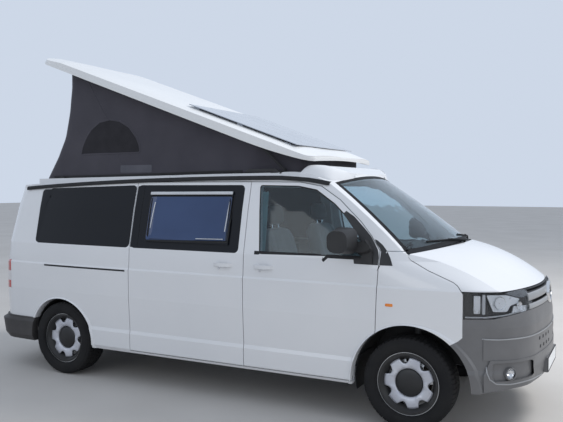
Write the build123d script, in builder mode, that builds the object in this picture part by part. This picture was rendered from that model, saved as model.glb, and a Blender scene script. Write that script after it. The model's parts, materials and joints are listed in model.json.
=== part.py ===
from build123d import *
import os
from functools import cache
from math import atan2, cos, degrees, radians, sin

os.makedirs("parts", exist_ok=True)

# Long-wheelbase camper van with a pop roof that rises at the rear.
# Millimetres. X points forward, Y to the van's left, Z up, and the wheels stand on Z = 0.

# Driving dimensions of the running gear
FRONT_AXLE_X = 1752
REAR_AXLE_X = -1648
TRACK = 1628
TYRE_RADIUS = 345
TYRE_WIDTH = 235
RIM_RADIUS = 222

# Walls, gaps and clearances
PANEL_GAP = 5
DOOR_GAP = 6
SEAT_GAP = 0.3
BODY_WALL = 60
SIDE_WALL = 110
POCKET_DEPTH = 66
ROOF_WALL = 40
SKIN_WALL = 25
GLASS_OUT = 3
GLASS_IN = 9
JAMB = 42
RELIEF_DEPTH = 20
RELIEF_WIDTH = 25

# Heights that pieces share
SILL_Z = 295
DOOR_Z = 322
FLOOR_Z = 560
FLOOR_THICK = 30
BELT_Z = 1250
WINDOW_TOP_Z = 1812
DOOR_TOP_Z = 1836
ROOF_SPLIT_Y = 690

# Plan outlines of the body at each height: half width, end of the flat side,
# wing corner x and y, nose x, tail x
LEVELS = (
    (230, 880, 1600, 2200, 842, 2560, -2570),
    (330, 937, 1600, 2200, 892, 2612, -2608),
    (470, 942, 1600, 2190, 905, 2630, -2632),
    (500, 934, 1600, 2185, 900, 2636, -2578),
    (800, 953, 1600, 2160, 916, 2640, -2575),
    (1050, 955, 1600, 2147, 915, 2602, -2568),
    (1066, 947, 1600, 2145, 908, 2598, -2565),
    (1246, 937, 1300, 1740, 872, 2550, -2548),
    (1600, 862, 700, 1375, 792, 1900, -2502),
    (1885, 786, 300, 1010, 722, 1330, -2448),
    (2100, 728, 150, 900, 665, 1200, -2390),
)
NOSE_Y = 514
NOSE_SAG = 52
TAIL_Y = 625
TAIL_SAG = 40
TAIL_CORNER = 275
SIDE_JOIN_X = -1300

# Top profiles along X: bonnet front, bonnet middle, screen base, screen middle,
# screen top, header, roof front, roof middle, roof rear
TOP_EDGE_Y = 1000
TOP_CENTRE = (
    (2560, 1072), (2300, 1240), (1960, 1345), (1560, 1632),
    (1150, 1893), (930, 1935), (560, 1945), (-900, 1922), (-2440, 1843),
)
TOP_SIDE = (
    (2322, 1034), (2010, 1160), (1601, 1291), (1290, 1546),
    (972, 1775), (850, 1850), (560, 1880), (-900, 1857), (-2390, 1780),
)

# Outlines in side view (x, z)
B_SEAM_X = 375
C_SEAM_X = -815
DOOR_FRONT_X = 1525
FRONT_ARCH = (1765, 340, 447)
REAR_ARCH = (-1655, 340, 391)
DOOR_LINE = (
    (B_SEAM_X, DOOR_Z), (B_SEAM_X, DOOR_TOP_Z), (814, 1832), (991, 1800), (1163, 1693),
    (1353, 1527), (1450, 1420), (DOOR_FRONT_X, 1318), (DOOR_FRONT_X + 4, 1213),
    (1510, 725), (1510, DOOR_Z),
)
DOOR_WINDOW = ((516, 1252), (457, WINDOW_TOP_Z), (800, 1806), (960, 1776), (1130, 1665),
               (1322, 1496), (1424, 1374), (1446, 1268))
SLIDING_LINE = ((C_SEAM_X, DOOR_Z), (C_SEAM_X, DOOR_TOP_Z), (B_SEAM_X, DOOR_TOP_Z),
                (B_SEAM_X, DOOR_Z))
MID_WINDOW = ((-806, BELT_Z), (-806, WINDOW_TOP_Z), (317, WINDOW_TOP_Z), (317, BELT_Z))
QUARTER_WINDOW = ((-2010, BELT_Z + 4), (-1905, 1782), (-824, WINDOW_TOP_Z), (-824, BELT_Z))
CAMPER_WINDOW = ((-645, 1314), (-645, 1755), (217, 1755), (217, 1314))
BONNET_LOW_Z = 1056
BUFFER_X = 2542
BONNET_LINE = ((1680, 1345), (1703, 1319), (1757, 1257), (1892, 1190), (2076, 1117),
               (2112, 1094), (2143, BONNET_LOW_Z), (2760, BONNET_LOW_Z), (2760, 1560), (1680, 1560))
WING_LINE = ((1510 + DOOR_GAP, 500), (1510 + DOOR_GAP, 725), (DOOR_FRONT_X + 4 + DOOR_GAP, 1213),
             (DOOR_FRONT_X + DOOR_GAP, 1314), (1703, 1314), (1757, 1252),
             (1892, 1185), (2076, 1112), (2110, 1089), (2150, 1036), (2150, 728),
             (2120, 700), (2040, 655), (2040, 500))
LAMP_LINE = ((2150, 860), (2350, 865), (2548, 908), (2760, 908), (2760, 1050), (2150, 1050))
BUMPER_LINE = ((2150, 860), (2150, 728), (2120, 700), (2040, 655), (2040, 333), (2260, 333),
               (2480, 372), (2760, 378), (2760, 908), (2548, 908), (2350, 865))
LAMP_INNER_Y = 516
REAR_BUMPER_LINE = ((-2700, 280), (-2700, 514), (-1990, 514), (-1990, 280))
TAIL_LAMP = (-2345, 745, 788, 1068)

# Raised bumper sections, the fog lamps and the lips round the wheel arches
BUMPER_BAND_LINE = ((2290, 575), (2290, 728), (2760, 728), (2760, 575))
BUMPER_CHIN_LINE = ((2335, 575), (2295, 470), (2295, 345), (2480, 372), (2760, 378), (2760, 575))
BAND_PROUD = 6
CHIN_PROUD = 12
FOG_LINE = ((2352, 428), (2352, 556), (2585, 556), (2585, 428))
FOG_DEPTH = 8
FOG_LAMP = (2460, -776, 476)
FOG_DIRECTION = (0.70, -0.71, 0)
FOG_RADIUS = 46
FLARE_WIDTH = 62
FLARE_HEIGHT = 14
FLARE_BASE = 10

# Flat seats for the two number plates: half width, z from and to, and x
PLATE_HALF = 262
FRONT_PLATE = (388, 500, 2650)
REAR_PLATE = (925, 1039, -2558)
REAR_RECESS = ((290, 905), (290, 1062))
RECESS_DEPTH = 20

# Windscreen and cowl in plan
SCREEN_LOW = (1714, 828, 1945)
SCREEN_HIGH = (1075, 684, 1152)
COWL_DEPTH = 34

# Tailgate in rear view (half width, z)
GATE_LINE = ((735, 524), (735, 1075), (742, 1240), (640, 1814))
GATE_WINDOW = ((670, 1262), (600, 1750))
GATE_MAX_X = -2300

# Grille height, and the slots between its bars
GRILLE_Z = (908.3, 1050)
GRILLE_SLOTS = ((951, 970), (1028, 1042))

# Pop roof: rail arc, shell and lever
RAIL_TOP_Z = 1889
RAIL_APEX_X = 500
RAIL_RADIUS = 42400
LEVER_BASE = (617.5, 1938)
LEVER_TIP = (302.5, 2221.9)
LEVER_TURN = 42.98
ROOF_TURN = 20.9
LEVER_Y = 672
LEVER_THICK = 8
LEVER_WIDTH = 20
SHELL_EDGE = (130, 1881, 0.01543, 7.8e-5)
SHELL_FRONT_X = 797
SHELL_REAR_X = -2333
SHELL_TAPER_X = 300
SHELL_HALF = 745
SHELL_FRONT_HALF = 641
SHELL_WALL = 15
SHELL_DEPTH = 62
SHELL_CROWN = 42
SHELL_LOW_CROWN = 34
PLATFORM_LINE = ((-2150, 1780), (-2150, 1878), (500, 1914), (500, 1780))
PLATFORM_Y = (645, 715)
SHOULDER_Y = 718
SHOULDER_DROP = 12
CORNER_CUT = (585, 830, 696, 1903)
LIP_OUT = 8
LIP_HEIGHT = 24
ROOF_HATCH = (-1950, 420, 560)
BIG = 3400


def rail_z(x):
    """Height of the roof rail, an arc with its top over the cab."""
    return RAIL_TOP_Z - (x - RAIL_APEX_X) ** 2 / (2 * RAIL_RADIUS)


def plan_outline(level, inset):
    """The body's plan outline at one height, moved in by the inset."""
    z, half, side_end, corner_x, corner_y, nose, tail = level
    half -= inset
    corner_y -= inset
    nose -= inset
    tail += inset
    with BuildLine() as outline:
        ThreePointArc((nose - NOSE_SAG, -NOSE_Y), (nose, 0), (nose - NOSE_SAG, NOSE_Y))
        for side in (1, -1):
            Line((SIDE_JOIN_X, side * half), (side_end, side * half))
            shoulder = TangentArc((side_end, side * half), (corner_x, side * corner_y), tangent=(1, 0))
            TangentArc((corner_x, side * corner_y), (nose - NOSE_SAG, side * NOSE_Y), tangent=shoulder % 1)
            rear = TangentArc((SIDE_JOIN_X, side * half), (tail + TAIL_CORNER, side * (half - 30)),
                              tangent=(-1, 0))
            TangentArc((tail + TAIL_CORNER, side * (half - 30)), (tail + TAIL_SAG, side * TAIL_Y),
                       tangent=rear % 1)
        ThreePointArc((tail + TAIL_SAG, -TAIL_Y), (tail, 0), (tail + TAIL_SAG, TAIL_Y))
    return outline.line


def side_form(inset):
    """The body's sides, nose and tail, lofted through the plan outlines."""
    with BuildPart() as form:
        for level in LEVELS:
            with BuildSketch(Plane.XY.offset(level[0])):
                with BuildLine():
                    add(plan_outline(level, inset))
                make_face()
        loft(ruled=True)
    return form.part


def top_form(inset):
    """Bonnet, windscreen and roof, lofted across the width from three profiles."""
    def moved(point):
        x, z = point
        return (x - (inset if x > 1160 else 0), z - inset)

    with BuildPart() as form:
        for y, row in ((-TOP_EDGE_Y, TOP_SIDE), (0, TOP_CENTRE), (TOP_EDGE_Y, TOP_SIDE)):
            points = [moved(point) for point in row]
            nose = (points[0][0] + 300, points[0][1] - 260)
            tail = (points[-1][0] - 400, points[-1][1] - 420)
            with BuildSketch(Plane.XZ.offset(-y)):
                with BuildLine():
                    Polyline((tail[0], 100), (nose[0], 100), nose, points[0])
                    ThreePointArc(points[0], points[1], points[2])
                    ThreePointArc(points[2], points[3], points[4])
                    ThreePointArc(points[4], points[5], points[6])
                    ThreePointArc(points[6], points[7], points[8])
                    Polyline(points[8], tail, (tail[0], 100))
                make_face()
        loft()
    return form.part


@cache
def body_form(inset):
    """The whole body as one solid, its skin moved in by the inset."""
    with BuildPart() as form:
        add(side_form(inset))
        add(top_form(inset), mode=Mode.INTERSECT)
    return form.part


def side_prism(points, y_from=-BIG, y_to=BIG, grow=0, radius=0):
    """A prism across the van with an outline in side view."""
    with BuildPart() as prism:
        with BuildSketch(Plane.XZ.offset(-y_to)) as face:
            with BuildLine():
                Polyline(*points, close=True)
            make_face()
            if radius:
                fillet(face.vertices(), radius)
            if grow:
                offset(amount=grow, kind=Kind.INTERSECTION)
        extrude(amount=y_to - y_from)
    return prism.part


def block(x_from, x_to, y_from, y_to, z_from, z_to):
    """A box by its limits."""
    with BuildPart() as box:
        with Locations(((x_from + x_to) / 2, (y_from + y_to) / 2, (z_from + z_to) / 2)):
            Box(x_to - x_from, y_to - y_from, z_to - z_from)
    return box.part


def cross_cylinder(x, z, radius, y_from, y_to):
    """A cylinder along Y by its limits."""
    with BuildPart() as bar:
        with BuildSketch(Plane.XZ.offset(-y_to)):
            with Locations((x, z)):
                Circle(radius)
        extrude(amount=y_to - y_from)
    return bar.part


@cache
def layer(outer, inner):
    """The body's wall between two insets."""
    with BuildPart() as wall:
        add(body_form(outer))
        add(body_form(inner), mode=Mode.SUBTRACT)
    return wall.part


def screen_prism(grow=0):
    """The windscreen's outline in plan, between curved edges."""
    low_x, low_y, low_mid = SCREEN_LOW
    high_x, high_y, high_mid = SCREEN_HIGH
    with BuildPart() as prism:
        with BuildSketch(Plane.XY.offset(BELT_Z)):
            with BuildLine():
                ThreePointArc((low_x + grow, -low_y - grow), (low_mid + grow, 0), (low_x + grow, low_y + grow))
                Line((low_x + grow, low_y + grow), (high_x - grow, high_y + grow))
                ThreePointArc((high_x - grow, high_y + grow), (high_mid - grow, 0),
                              (high_x - grow, -high_y - grow))
                Line((high_x - grow, -high_y - grow), (low_x + grow, -low_y - grow))
            make_face()
        extrude(amount=900)
    return prism.part


def behind_arc(depth):
    """Everything behind the windscreen's base edge, moved forward by the depth."""
    low_x, low_y, low_mid = SCREEN_LOW
    with BuildPart() as prism:
        with BuildSketch(Plane.XY.offset(900)):
            with BuildLine():
                ThreePointArc((low_x + depth, -low_y), (low_mid + depth, 0), (low_x + depth, low_y))
                Polyline((low_x + depth, low_y), (low_x + depth - 90, 1100), (0, 1100), (0, -1100),
                         (low_x + depth - 90, -1100), (low_x + depth, -low_y))
            make_face()
        extrude(amount=1200)
    return prism.part


def rear_prism(points, grow=0):
    """A prism along X with an outline in rear view, symmetric about the middle."""
    right = [(-y, z) for y, z in reversed(points)]
    with BuildPart() as prism:
        with BuildSketch(Plane.YZ.offset(-BIG)) as face:
            with BuildLine():
                Polyline(*points, *right, close=True)
            make_face()
            if grow:
                offset(amount=grow, kind=Kind.INTERSECTION)
        extrude(amount=BIG + GATE_MAX_X)
    return prism.part


def mirrored(part):
    """The same piece on the van's other side."""
    with BuildPart() as other:
        add(part)
        mirror(about=Plane.XZ, mode=Mode.REPLACE)
    return other.part


def save(part, name):
    """Label a piece and write it under its own name."""
    part.label = name
    export_step(part, f"parts/{name}.step")
    return part


def rail_band(x_from, x_to, low, high):
    """A band along the rail's arc in side view."""
    middle = (x_from + x_to) / 2
    with BuildPart() as band:
        with BuildSketch(Plane.XZ):
            with BuildLine():
                ThreePointArc((x_from, rail_z(x_from) + low), (middle, rail_z(middle) + low),
                              (x_to, rail_z(x_to) + low))
                Line((x_to, rail_z(x_to) + low), (x_to, rail_z(x_to) + high))
                ThreePointArc((x_to, rail_z(x_to) + high), (middle, rail_z(middle) + high),
                              (x_from, rail_z(x_from) + high))
                Line((x_from, rail_z(x_from) + high), (x_from, rail_z(x_from) + low))
            make_face()
        extrude(amount=HALF)
    return band.part


def platform(grow=0):
    """The pair of raised strips on the roof that the pop roof closes over."""
    inner_y, outer_y = PLATFORM_Y
    with BuildPart() as strips:
        for side in (1, -1):
            add(side_prism(PLATFORM_LINE, *sorted((side * (inner_y - grow), side * (outer_y + grow))), grow=grow))
    return strips.part


def arch_flare(x, z, radius):
    """The raised lip round a wheel arch on the right side, sloping into the panel."""
    with BuildPart() as flare:
        for y, reach in ((-850, FLARE_WIDTH + 40), (-990, -30)):
            with BuildSketch(Plane.XZ.offset(-y)):
                with Locations((x, z)):
                    Circle(radius + reach)
        loft()
        add(body_form(-FLARE_HEIGHT), mode=Mode.INTERSECT)
        add(body_form(FLARE_BASE), mode=Mode.SUBTRACT)
    return flare.part


SKIN = layer(0, SKIN_WALL)
WALL = layer(0, BODY_WALL)
GLASS = layer(GLASS_OUT, GLASS_IN)

FRONT_ARCH_TOOL = cross_cylinder(*FRONT_ARCH, -BIG, BIG)
REAR_ARCH_TOOL = cross_cylinder(*REAR_ARCH, -BIG, BIG)
FRONT_FLARE = arch_flare(*FRONT_ARCH)
REAR_FLARE = arch_flare(*REAR_ARCH)
HALF = 1400


# Body sides: frames with pockets and openings for the doors
def door_pocket(points, y_from, y_to):
    """A door's recess in the body side, with its opening inside the jambs."""
    with BuildPart() as pocket:
        add(side_prism(points, y_from, y_to, grow=DOOR_GAP))
        add(body_form(POCKET_DEPTH), mode=Mode.SUBTRACT)
    xs = [x for x, z in points]
    with BuildPart() as opening:
        add(side_prism(points, y_from, y_to, grow=-JAMB))
        add(block(min(xs), max(xs), y_from, y_to, 0, FLOOR_Z), mode=Mode.SUBTRACT)
    return pocket.part, opening.part


def body_side(has_sliding_door):
    """One body side at the van's right, from the front pillar to the tail corner."""
    doors = [DOOR_LINE, SLIDING_LINE] if has_sliding_door else [DOOR_LINE]
    with BuildPart() as side:
        add(body_form(0))
        add(platform())
        add(FRONT_FLARE)
        add(REAR_FLARE)
        add(body_form(SIDE_WALL), mode=Mode.SUBTRACT)
        add(block(-2700, 1760, -HALF, -ROOF_SPLIT_Y, SILL_Z, 2000), mode=Mode.INTERSECT)
        add(side_prism(WING_LINE, -HALF, 0, grow=PANEL_GAP), mode=Mode.SUBTRACT)
        add(side_prism(BONNET_LINE, -HALF, 0, grow=PANEL_GAP), mode=Mode.SUBTRACT)
        add(screen_prism(SEAT_GAP), mode=Mode.SUBTRACT)
        for points in doors:
            pocket, opening = door_pocket(points, -HALF, 0)
            add(pocket, mode=Mode.SUBTRACT)
            add(opening, mode=Mode.SUBTRACT)
        add(striker)
        if not has_sliding_door:
            add(side_prism(MID_WINDOW, -HALF, 0, radius=40), mode=Mode.SUBTRACT)
        add(side_prism(QUARTER_WINDOW, -HALF, 0, radius=45), mode=Mode.SUBTRACT)
        add(FRONT_ARCH_TOOL, mode=Mode.SUBTRACT)
        add(REAR_ARCH_TOOL, mode=Mode.SUBTRACT)
        add(rear_prism(GATE_LINE, grow=DOOR_GAP), mode=Mode.SUBTRACT)
        add(side_prism(REAR_BUMPER_LINE, -HALF, 0, grow=SEAT_GAP), mode=Mode.SUBTRACT)
        lamp_x, lamp_y, lamp_low, lamp_high = TAIL_LAMP
        add(block(-2700, lamp_x, -HALF, -lamp_y, lamp_low - 1, lamp_high + 1), mode=Mode.SUBTRACT)
        add(block(DOOR_FRONT_X, 1760, -HALF, 0, 200, 1000), mode=Mode.SUBTRACT)
        add(shoulder, mode=Mode.SUBTRACT)
    return side.part


with BuildPart() as shoulder_right:
    add(rail_band(-2600, 1010, -SHOULDER_DROP, 200))
    add(block(-2600, 1010, -HALF, -SHOULDER_Y, 1700, 2200), mode=Mode.INTERSECT)
    # Lower where the pop roof's edge bends in towards its front corner
    corner_rear, corner_front, corner_y, corner_z = CORNER_CUT
    add(block(corner_rear, corner_front, -HALF, -corner_y, corner_z, 2200))
shoulder = shoulder_right.part


# Striker in the door frame, which the front door's rear edge closes against
STRIKER_LINE = ((B_SEAM_X + 4, 1010), (B_SEAM_X + 4, 1050), (B_SEAM_X + 19, 1050), (B_SEAM_X + 19, 1010))
with BuildPart() as striker_right:
    add(layer(RELIEF_DEPTH + SEAT_GAP, SIDE_WALL))
    add(side_prism(STRIKER_LINE, -HALF, 0), mode=Mode.INTERSECT)
striker = striker_right.part

save(body_side(True), "body_side_right")
save(mirrored(body_side(False)), "body_side_left")

# Roof between the sides, with the bed hatch and the fixed fairing in front of the pop roof
FAIRING_LINE = ((832, 1900), (832, 1972), (900, 1976), (1000, 1965), (1140, 1900), (1140, 1880))
with BuildPart() as roof_panel:
    add(body_form(0))
    add(platform())
    add(body_form(ROOF_WALL), mode=Mode.SUBTRACT)
    inner_y = ROOF_SPLIT_Y - SEAT_GAP
    add(block(-2700, 1200, -inner_y, inner_y, 1780, 2100), mode=Mode.INTERSECT)
    add(screen_prism(SEAT_GAP), mode=Mode.SUBTRACT)
    add(rear_prism(GATE_LINE, grow=DOOR_GAP), mode=Mode.SUBTRACT)
    hatch_rear, hatch_front, hatch_half = ROOF_HATCH
    with BuildSketch(Plane.XY.offset(1700)):
        with Locations(((hatch_rear + hatch_front) / 2, 0)):
            RectangleRounded(hatch_front - hatch_rear, 2 * hatch_half, 90)
    extrude(amount=400, mode=Mode.SUBTRACT)
    with BuildPart(mode=Mode.PRIVATE) as fairing:
        with BuildSketch(Plane.XY.offset(1800)):
            with BuildLine():
                ThreePointArc((832, -644), (844, 0), (832, 644))
                ThreePointArc((832, 644), (1010, 600), (1110, 300))
                ThreePointArc((1110, 300), (1136, 0), (1110, -300))
                ThreePointArc((1110, -300), (1010, -600), (832, -644))
            make_face()
        extrude(amount=200)
        with BuildSketch(Plane.XZ.offset(-HALF)):
            with BuildLine():
                Polyline(*FAIRING_LINE, close=True)
            make_face()
        extrude(amount=2 * HALF, mode=Mode.INTERSECT)
    add(fairing.part)
    add(body_form(ROOF_WALL), mode=Mode.SUBTRACT)
save(roof_panel.part, "roof_panel")


# Outer panels that cover the frame
def panel(wall, points, y_from, y_to):
    """The part of a wall inside an outline in side view."""
    with BuildPart() as piece:
        add(wall)
        add(side_prism(points, y_from, y_to), mode=Mode.INTERSECT)
    return piece.part


MIDDLE_Y = 300
with BuildPart() as wing_right:
    add(panel(SKIN, WING_LINE, -HALF, -MIDDLE_Y))
    add(panel(FRONT_FLARE, WING_LINE, -HALF, -MIDDLE_Y))
    add(FRONT_ARCH_TOOL, mode=Mode.SUBTRACT)
    add(screen_prism(SEAT_GAP), mode=Mode.SUBTRACT)
with BuildPart() as front_wings:
    add(wing_right.part)
    add(mirrored(wing_right.part))
save(front_wings.part, "front_wings")

with BuildPart() as bonnet:
    add(panel(SKIN, BONNET_LINE, -HALF, HALF))
    add(behind_arc(COWL_DEPTH), mode=Mode.SUBTRACT)
save(bonnet.part, "bonnet")

COWL_Z = 1225
COWL_INSET = 7
with BuildPart() as cowl:
    add(layer(COWL_INSET, BODY_WALL))
    add(block(1500, 2100, -822, 822, COWL_Z, 1400), mode=Mode.INTERSECT)
    add(behind_arc(COWL_DEPTH - DOOR_GAP), mode=Mode.INTERSECT)
    add(screen_prism(SEAT_GAP), mode=Mode.SUBTRACT)
    add(behind_arc(SEAT_GAP), mode=Mode.SUBTRACT)
    add(block(1500, 1740, -900, 900, 1000, 1400), mode=Mode.SUBTRACT)
save(cowl.part, "cowl")

with BuildPart() as windscreen:
    add(GLASS)
    add(screen_prism(-SEAT_GAP), mode=Mode.INTERSECT)
save(windscreen.part, "windscreen")


# Doors, with their window openings
def door(points, window, radius):
    """A door on the van's right, as thick as the wall, with its window cut."""
    with BuildPart() as piece:
        add(panel(WALL, points, -HALF, -MIDDLE_Y))
        add(panel(FRONT_FLARE, points, -HALF, -MIDDLE_Y))
        add(side_prism(window, -HALF, 0, radius=radius), mode=Mode.SUBTRACT)
        add(FRONT_ARCH_TOOL, mode=Mode.SUBTRACT)
        # The inner part of the door is narrower all round, so that its edges swing clear
        add(edge_relief(points), mode=Mode.SUBTRACT)
        add(pull_handle(FRONT_HANDLE))
    return piece.part


def edge_relief(points):
    """The inner part of a door's border."""
    with BuildPart() as relief:
        add(body_form(RELIEF_DEPTH))
        add(side_prism(points, -HALF, 0, grow=1), mode=Mode.INTERSECT)
        add(side_prism(points, -HALF, 0, grow=-RELIEF_WIDTH), mode=Mode.SUBTRACT)
    return relief.part


# Pull handles: x from and to, height, and the skin's y there
FRONT_HANDLE = (462, 660, 1150, -941)
SLIDING_HANDLE = (78, 276, 1150, -941)
HANDLE_HEIGHT = 30
HANDLE_PROUD = 38
HANDLE_THICK = 14


def pull_handle(place):
    """A bowed bar with a finger gap behind it."""
    x_from, x_to, z, skin_y = place
    middle = (x_from + x_to) / 2
    with BuildPart() as handle:
        with BuildSketch(Plane.XY.offset(z - HANDLE_HEIGHT / 2)):
            with BuildLine():
                ThreePointArc((x_from, skin_y + 6), (middle, skin_y - HANDLE_PROUD), (x_to, skin_y + 6))
                Line((x_to, skin_y + 6), (x_from, skin_y + 6))
            make_face()
            with BuildLine():
                ThreePointArc((x_from + 34, skin_y + 5), (middle, skin_y - HANDLE_PROUD + HANDLE_THICK),
                              (x_to - 34, skin_y + 5))
                Line((x_to - 34, skin_y + 5), (x_from + 34, skin_y + 5))
            make_face(mode=Mode.SUBTRACT)
        extrude(amount=HANDLE_HEIGHT)
    return handle.part


front_door = door(DOOR_LINE, DOOR_WINDOW, 22)
save(front_door, "front_door_right")
save(mirrored(front_door), "front_door_left")


def pane(window, radius, y_from=-HALF, y_to=-MIDDLE_Y):
    """A flush pane in a window opening on the right side."""
    with BuildPart() as glass:
        add(GLASS)
        add(side_prism(window, y_from, y_to, grow=-SEAT_GAP, radius=radius), mode=Mode.INTERSECT)
    return glass.part


door_glass = pane(DOOR_WINDOW, 22)
save(door_glass, "door_glass_right")
save(mirrored(door_glass), "door_glass_left")

quarter_glass = pane(QUARTER_WINDOW, 45)
with BuildPart() as side_windows:
    add(quarter_glass)
    add(mirrored(quarter_glass))
    add(mirrored(pane(MID_WINDOW, 40)))
save(side_windows.part, "side_windows")

with BuildPart() as sliding_door:
    add(panel(WALL, SLIDING_LINE, -HALF, -MIDDLE_Y))
    add(side_prism(((C_SEAM_X - 9, 0), (C_SEAM_X - 9, 2000), (C_SEAM_X, 2000), (C_SEAM_X, 0)), -HALF, 0),
        mode=Mode.SUBTRACT)
    add(side_prism(((B_SEAM_X - DOOR_GAP, 0), (B_SEAM_X - DOOR_GAP, 2000), (B_SEAM_X + 9, 2000),
                    (B_SEAM_X + 9, 0)), -HALF, 0), mode=Mode.SUBTRACT)
    add(side_prism(MID_WINDOW, -HALF, 0, radius=40), mode=Mode.SUBTRACT)
    add(pull_handle(SLIDING_HANDLE))
save(sliding_door.part, "sliding_door")

CAMPER_FRAME = 26
with BuildPart() as sliding_door_window:
    add(pane(MID_WINDOW, 40))
    add(side_prism(CAMPER_WINDOW, -HALF, 0, radius=30), mode=Mode.SUBTRACT)
    add(panel(layer(-12, BODY_WALL), CAMPER_WINDOW, -HALF, -MIDDLE_Y))
    add(side_prism(CAMPER_WINDOW, -HALF, 0, grow=-CAMPER_FRAME, radius=CAMPER_FRAME + 4), mode=Mode.SUBTRACT)
    add(panel(GLASS, CAMPER_WINDOW, -HALF, -MIDDLE_Y))
save(sliding_door_window.part, "sliding_door_window")


# Mirrors on their feet at the doors' front corners
MIRROR_HEAD = (1185, 1385, 1290, 1492)
MIRROR_Y = (-1148, -985)
with BuildPart() as mirror_right:
    head_rear, head_front, head_low, head_high = MIRROR_HEAD
    with BuildSketch(Plane.XZ.offset(-MIRROR_Y[0])):
        with Locations(((head_rear + head_front) / 2, (head_low + head_high) / 2)):
            RectangleRounded(head_front - head_rear - 40, head_high - head_low - 40, 60)
    with BuildSketch(Plane.XZ.offset(-MIRROR_Y[1])):
        with Locations(((head_rear + head_front) / 2, (head_low + head_high) / 2)):
            RectangleRounded(head_front - head_rear, head_high - head_low, 60)
    loft()
    with BuildSketch(Plane.XZ.offset(-MIRROR_Y[1])):
        with Locations((1400, 1350)):
            Ellipse(80, 40)
    with BuildSketch(Plane.XZ.offset(890)):
        with Locations((1428, 1300)):
            Ellipse(58, 40)
    loft()
    add(side_prism(((1390, 1222), (1430, 1400), (1478, 1330), (1488, 1222)), -950, -880))
    add(body_form(-SEAT_GAP), mode=Mode.SUBTRACT)
save(mirror_right.part, "mirror_right")
save(mirrored(mirror_right.part), "mirror_left")

# Tailgate and its pane
gate_zone = rear_prism(GATE_LINE)
with BuildPart() as tailgate:
    add(WALL)
    add(gate_zone, mode=Mode.INTERSECT)
    add(rear_prism(GATE_WINDOW), mode=Mode.SUBTRACT)
    # Number plate recess with its flat seat, and the grip above it
    with BuildPart(mode=Mode.PRIVATE) as recess:
        add(rear_prism(REAR_RECESS))
        add(body_form(RECESS_DEPTH), mode=Mode.SUBTRACT)
    add(recess.part, mode=Mode.SUBTRACT)
    plate_low, plate_high, plate_x = REAR_PLATE
    add(block(plate_x, plate_x + RECESS_DEPTH, -PLATE_HALF, PLATE_HALF, plate_low, plate_high))
    with BuildPart(mode=Mode.PRIVATE) as grip:
        add(layer(-CHIN_PROUD, FLARE_BASE))
        add(rear_prism(((330, 1064), (330, 1096))), mode=Mode.INTERSECT)
    add(grip.part)
save(tailgate.part, "tailgate")
with BuildPart() as tailgate_glass:
    add(GLASS)
    add(rear_prism(GATE_WINDOW, grow=-SEAT_GAP), mode=Mode.INTERSECT)
save(tailgate_glass.part, "tailgate_glass")

# Bumpers, lamps and grille
with BuildPart() as front_bumper:
    add(layer(0, BODY_WALL))
    add(side_prism(BUMPER_LINE, -HALF, HALF), mode=Mode.INTERSECT)
    add(panel(layer(-BAND_PROUD, FLARE_BASE), BUMPER_BAND_LINE, -HALF, HALF))
    add(panel(layer(-CHIN_PROUD, FLARE_BASE), BUMPER_CHIN_LINE, -HALF, HALF))
    with BuildPart(mode=Mode.PRIVATE) as bumper_side:
        add(panel(FRONT_FLARE, BUMPER_LINE, -HALF, 0))
    add(bumper_side.part)
    add(mirrored(bumper_side.part))
    add(FRONT_ARCH_TOOL, mode=Mode.SUBTRACT)
    with BuildPart(mode=Mode.PRIVATE) as fog_recess:
        add(side_prism(FOG_LINE, -HALF, HALF, radius=20))
        add(body_form(FOG_DEPTH), mode=Mode.SUBTRACT)
        with BuildSketch(Plane(origin=FOG_LAMP, z_dir=FOG_DIRECTION).offset(-45)):
            Circle(FOG_RADIUS)
        extrude(amount=75)
        add(block(2300, 2700, -HALF, 0, 400, 600), mode=Mode.INTERSECT)
    add(fog_recess.part, mode=Mode.SUBTRACT)
    add(mirrored(fog_recess.part), mode=Mode.SUBTRACT)
    plate_low, plate_high, plate_x = FRONT_PLATE
    add(block(plate_x - 44, plate_x, -PLATE_HALF, PLATE_HALF, plate_low, plate_high))
save(front_bumper.part, "front_bumper")

with BuildPart() as rear_bumper:
    add(layer(-12, BODY_WALL))
    add(side_prism(REAR_BUMPER_LINE, -HALF, HALF), mode=Mode.INTERSECT)
    add(REAR_ARCH_TOOL, mode=Mode.SUBTRACT)
save(rear_bumper.part, "rear_bumper")

lamp_band = side_prism(LAMP_LINE, -HALF, -LAMP_INNER_Y, grow=-SEAT_GAP)
with BuildPart() as lamp_right:
    add(layer(GLASS_OUT, BODY_WALL))
    add(lamp_band, mode=Mode.INTERSECT)
with BuildPart() as headlamps:
    add(lamp_right.part)
    add(mirrored(lamp_right.part))
save(headlamps.part, "headlamps")

with BuildPart() as grille:
    add(layer(GLASS_OUT, BODY_WALL))
    add(block(2300, 2700, -LAMP_INNER_Y + 0.6, LAMP_INNER_Y - 0.6, *GRILLE_Z), mode=Mode.INTERSECT)
    with BuildPart(mode=Mode.PRIVATE) as slots:
        for low, high in GRILLE_SLOTS:
            add(block(2300, 2700, -LAMP_INNER_Y + 12, LAMP_INNER_Y - 12, low, high))
        add(body_form(SKIN_WALL + 10), mode=Mode.SUBTRACT)
    add(slots.part, mode=Mode.SUBTRACT)
    # Rubber buffers under the bonnet's front edge
    for buffer_y in (-300, 300):
        with BuildSketch(Plane.XY.offset(GRILLE_Z[1] - 1)):
            with Locations((BUFFER_X, buffer_y)):
                Circle(6)
        extrude(amount=BONNET_LOW_Z - SEAT_GAP - GRILLE_Z[1] + 1)
save(grille.part, "grille")

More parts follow.
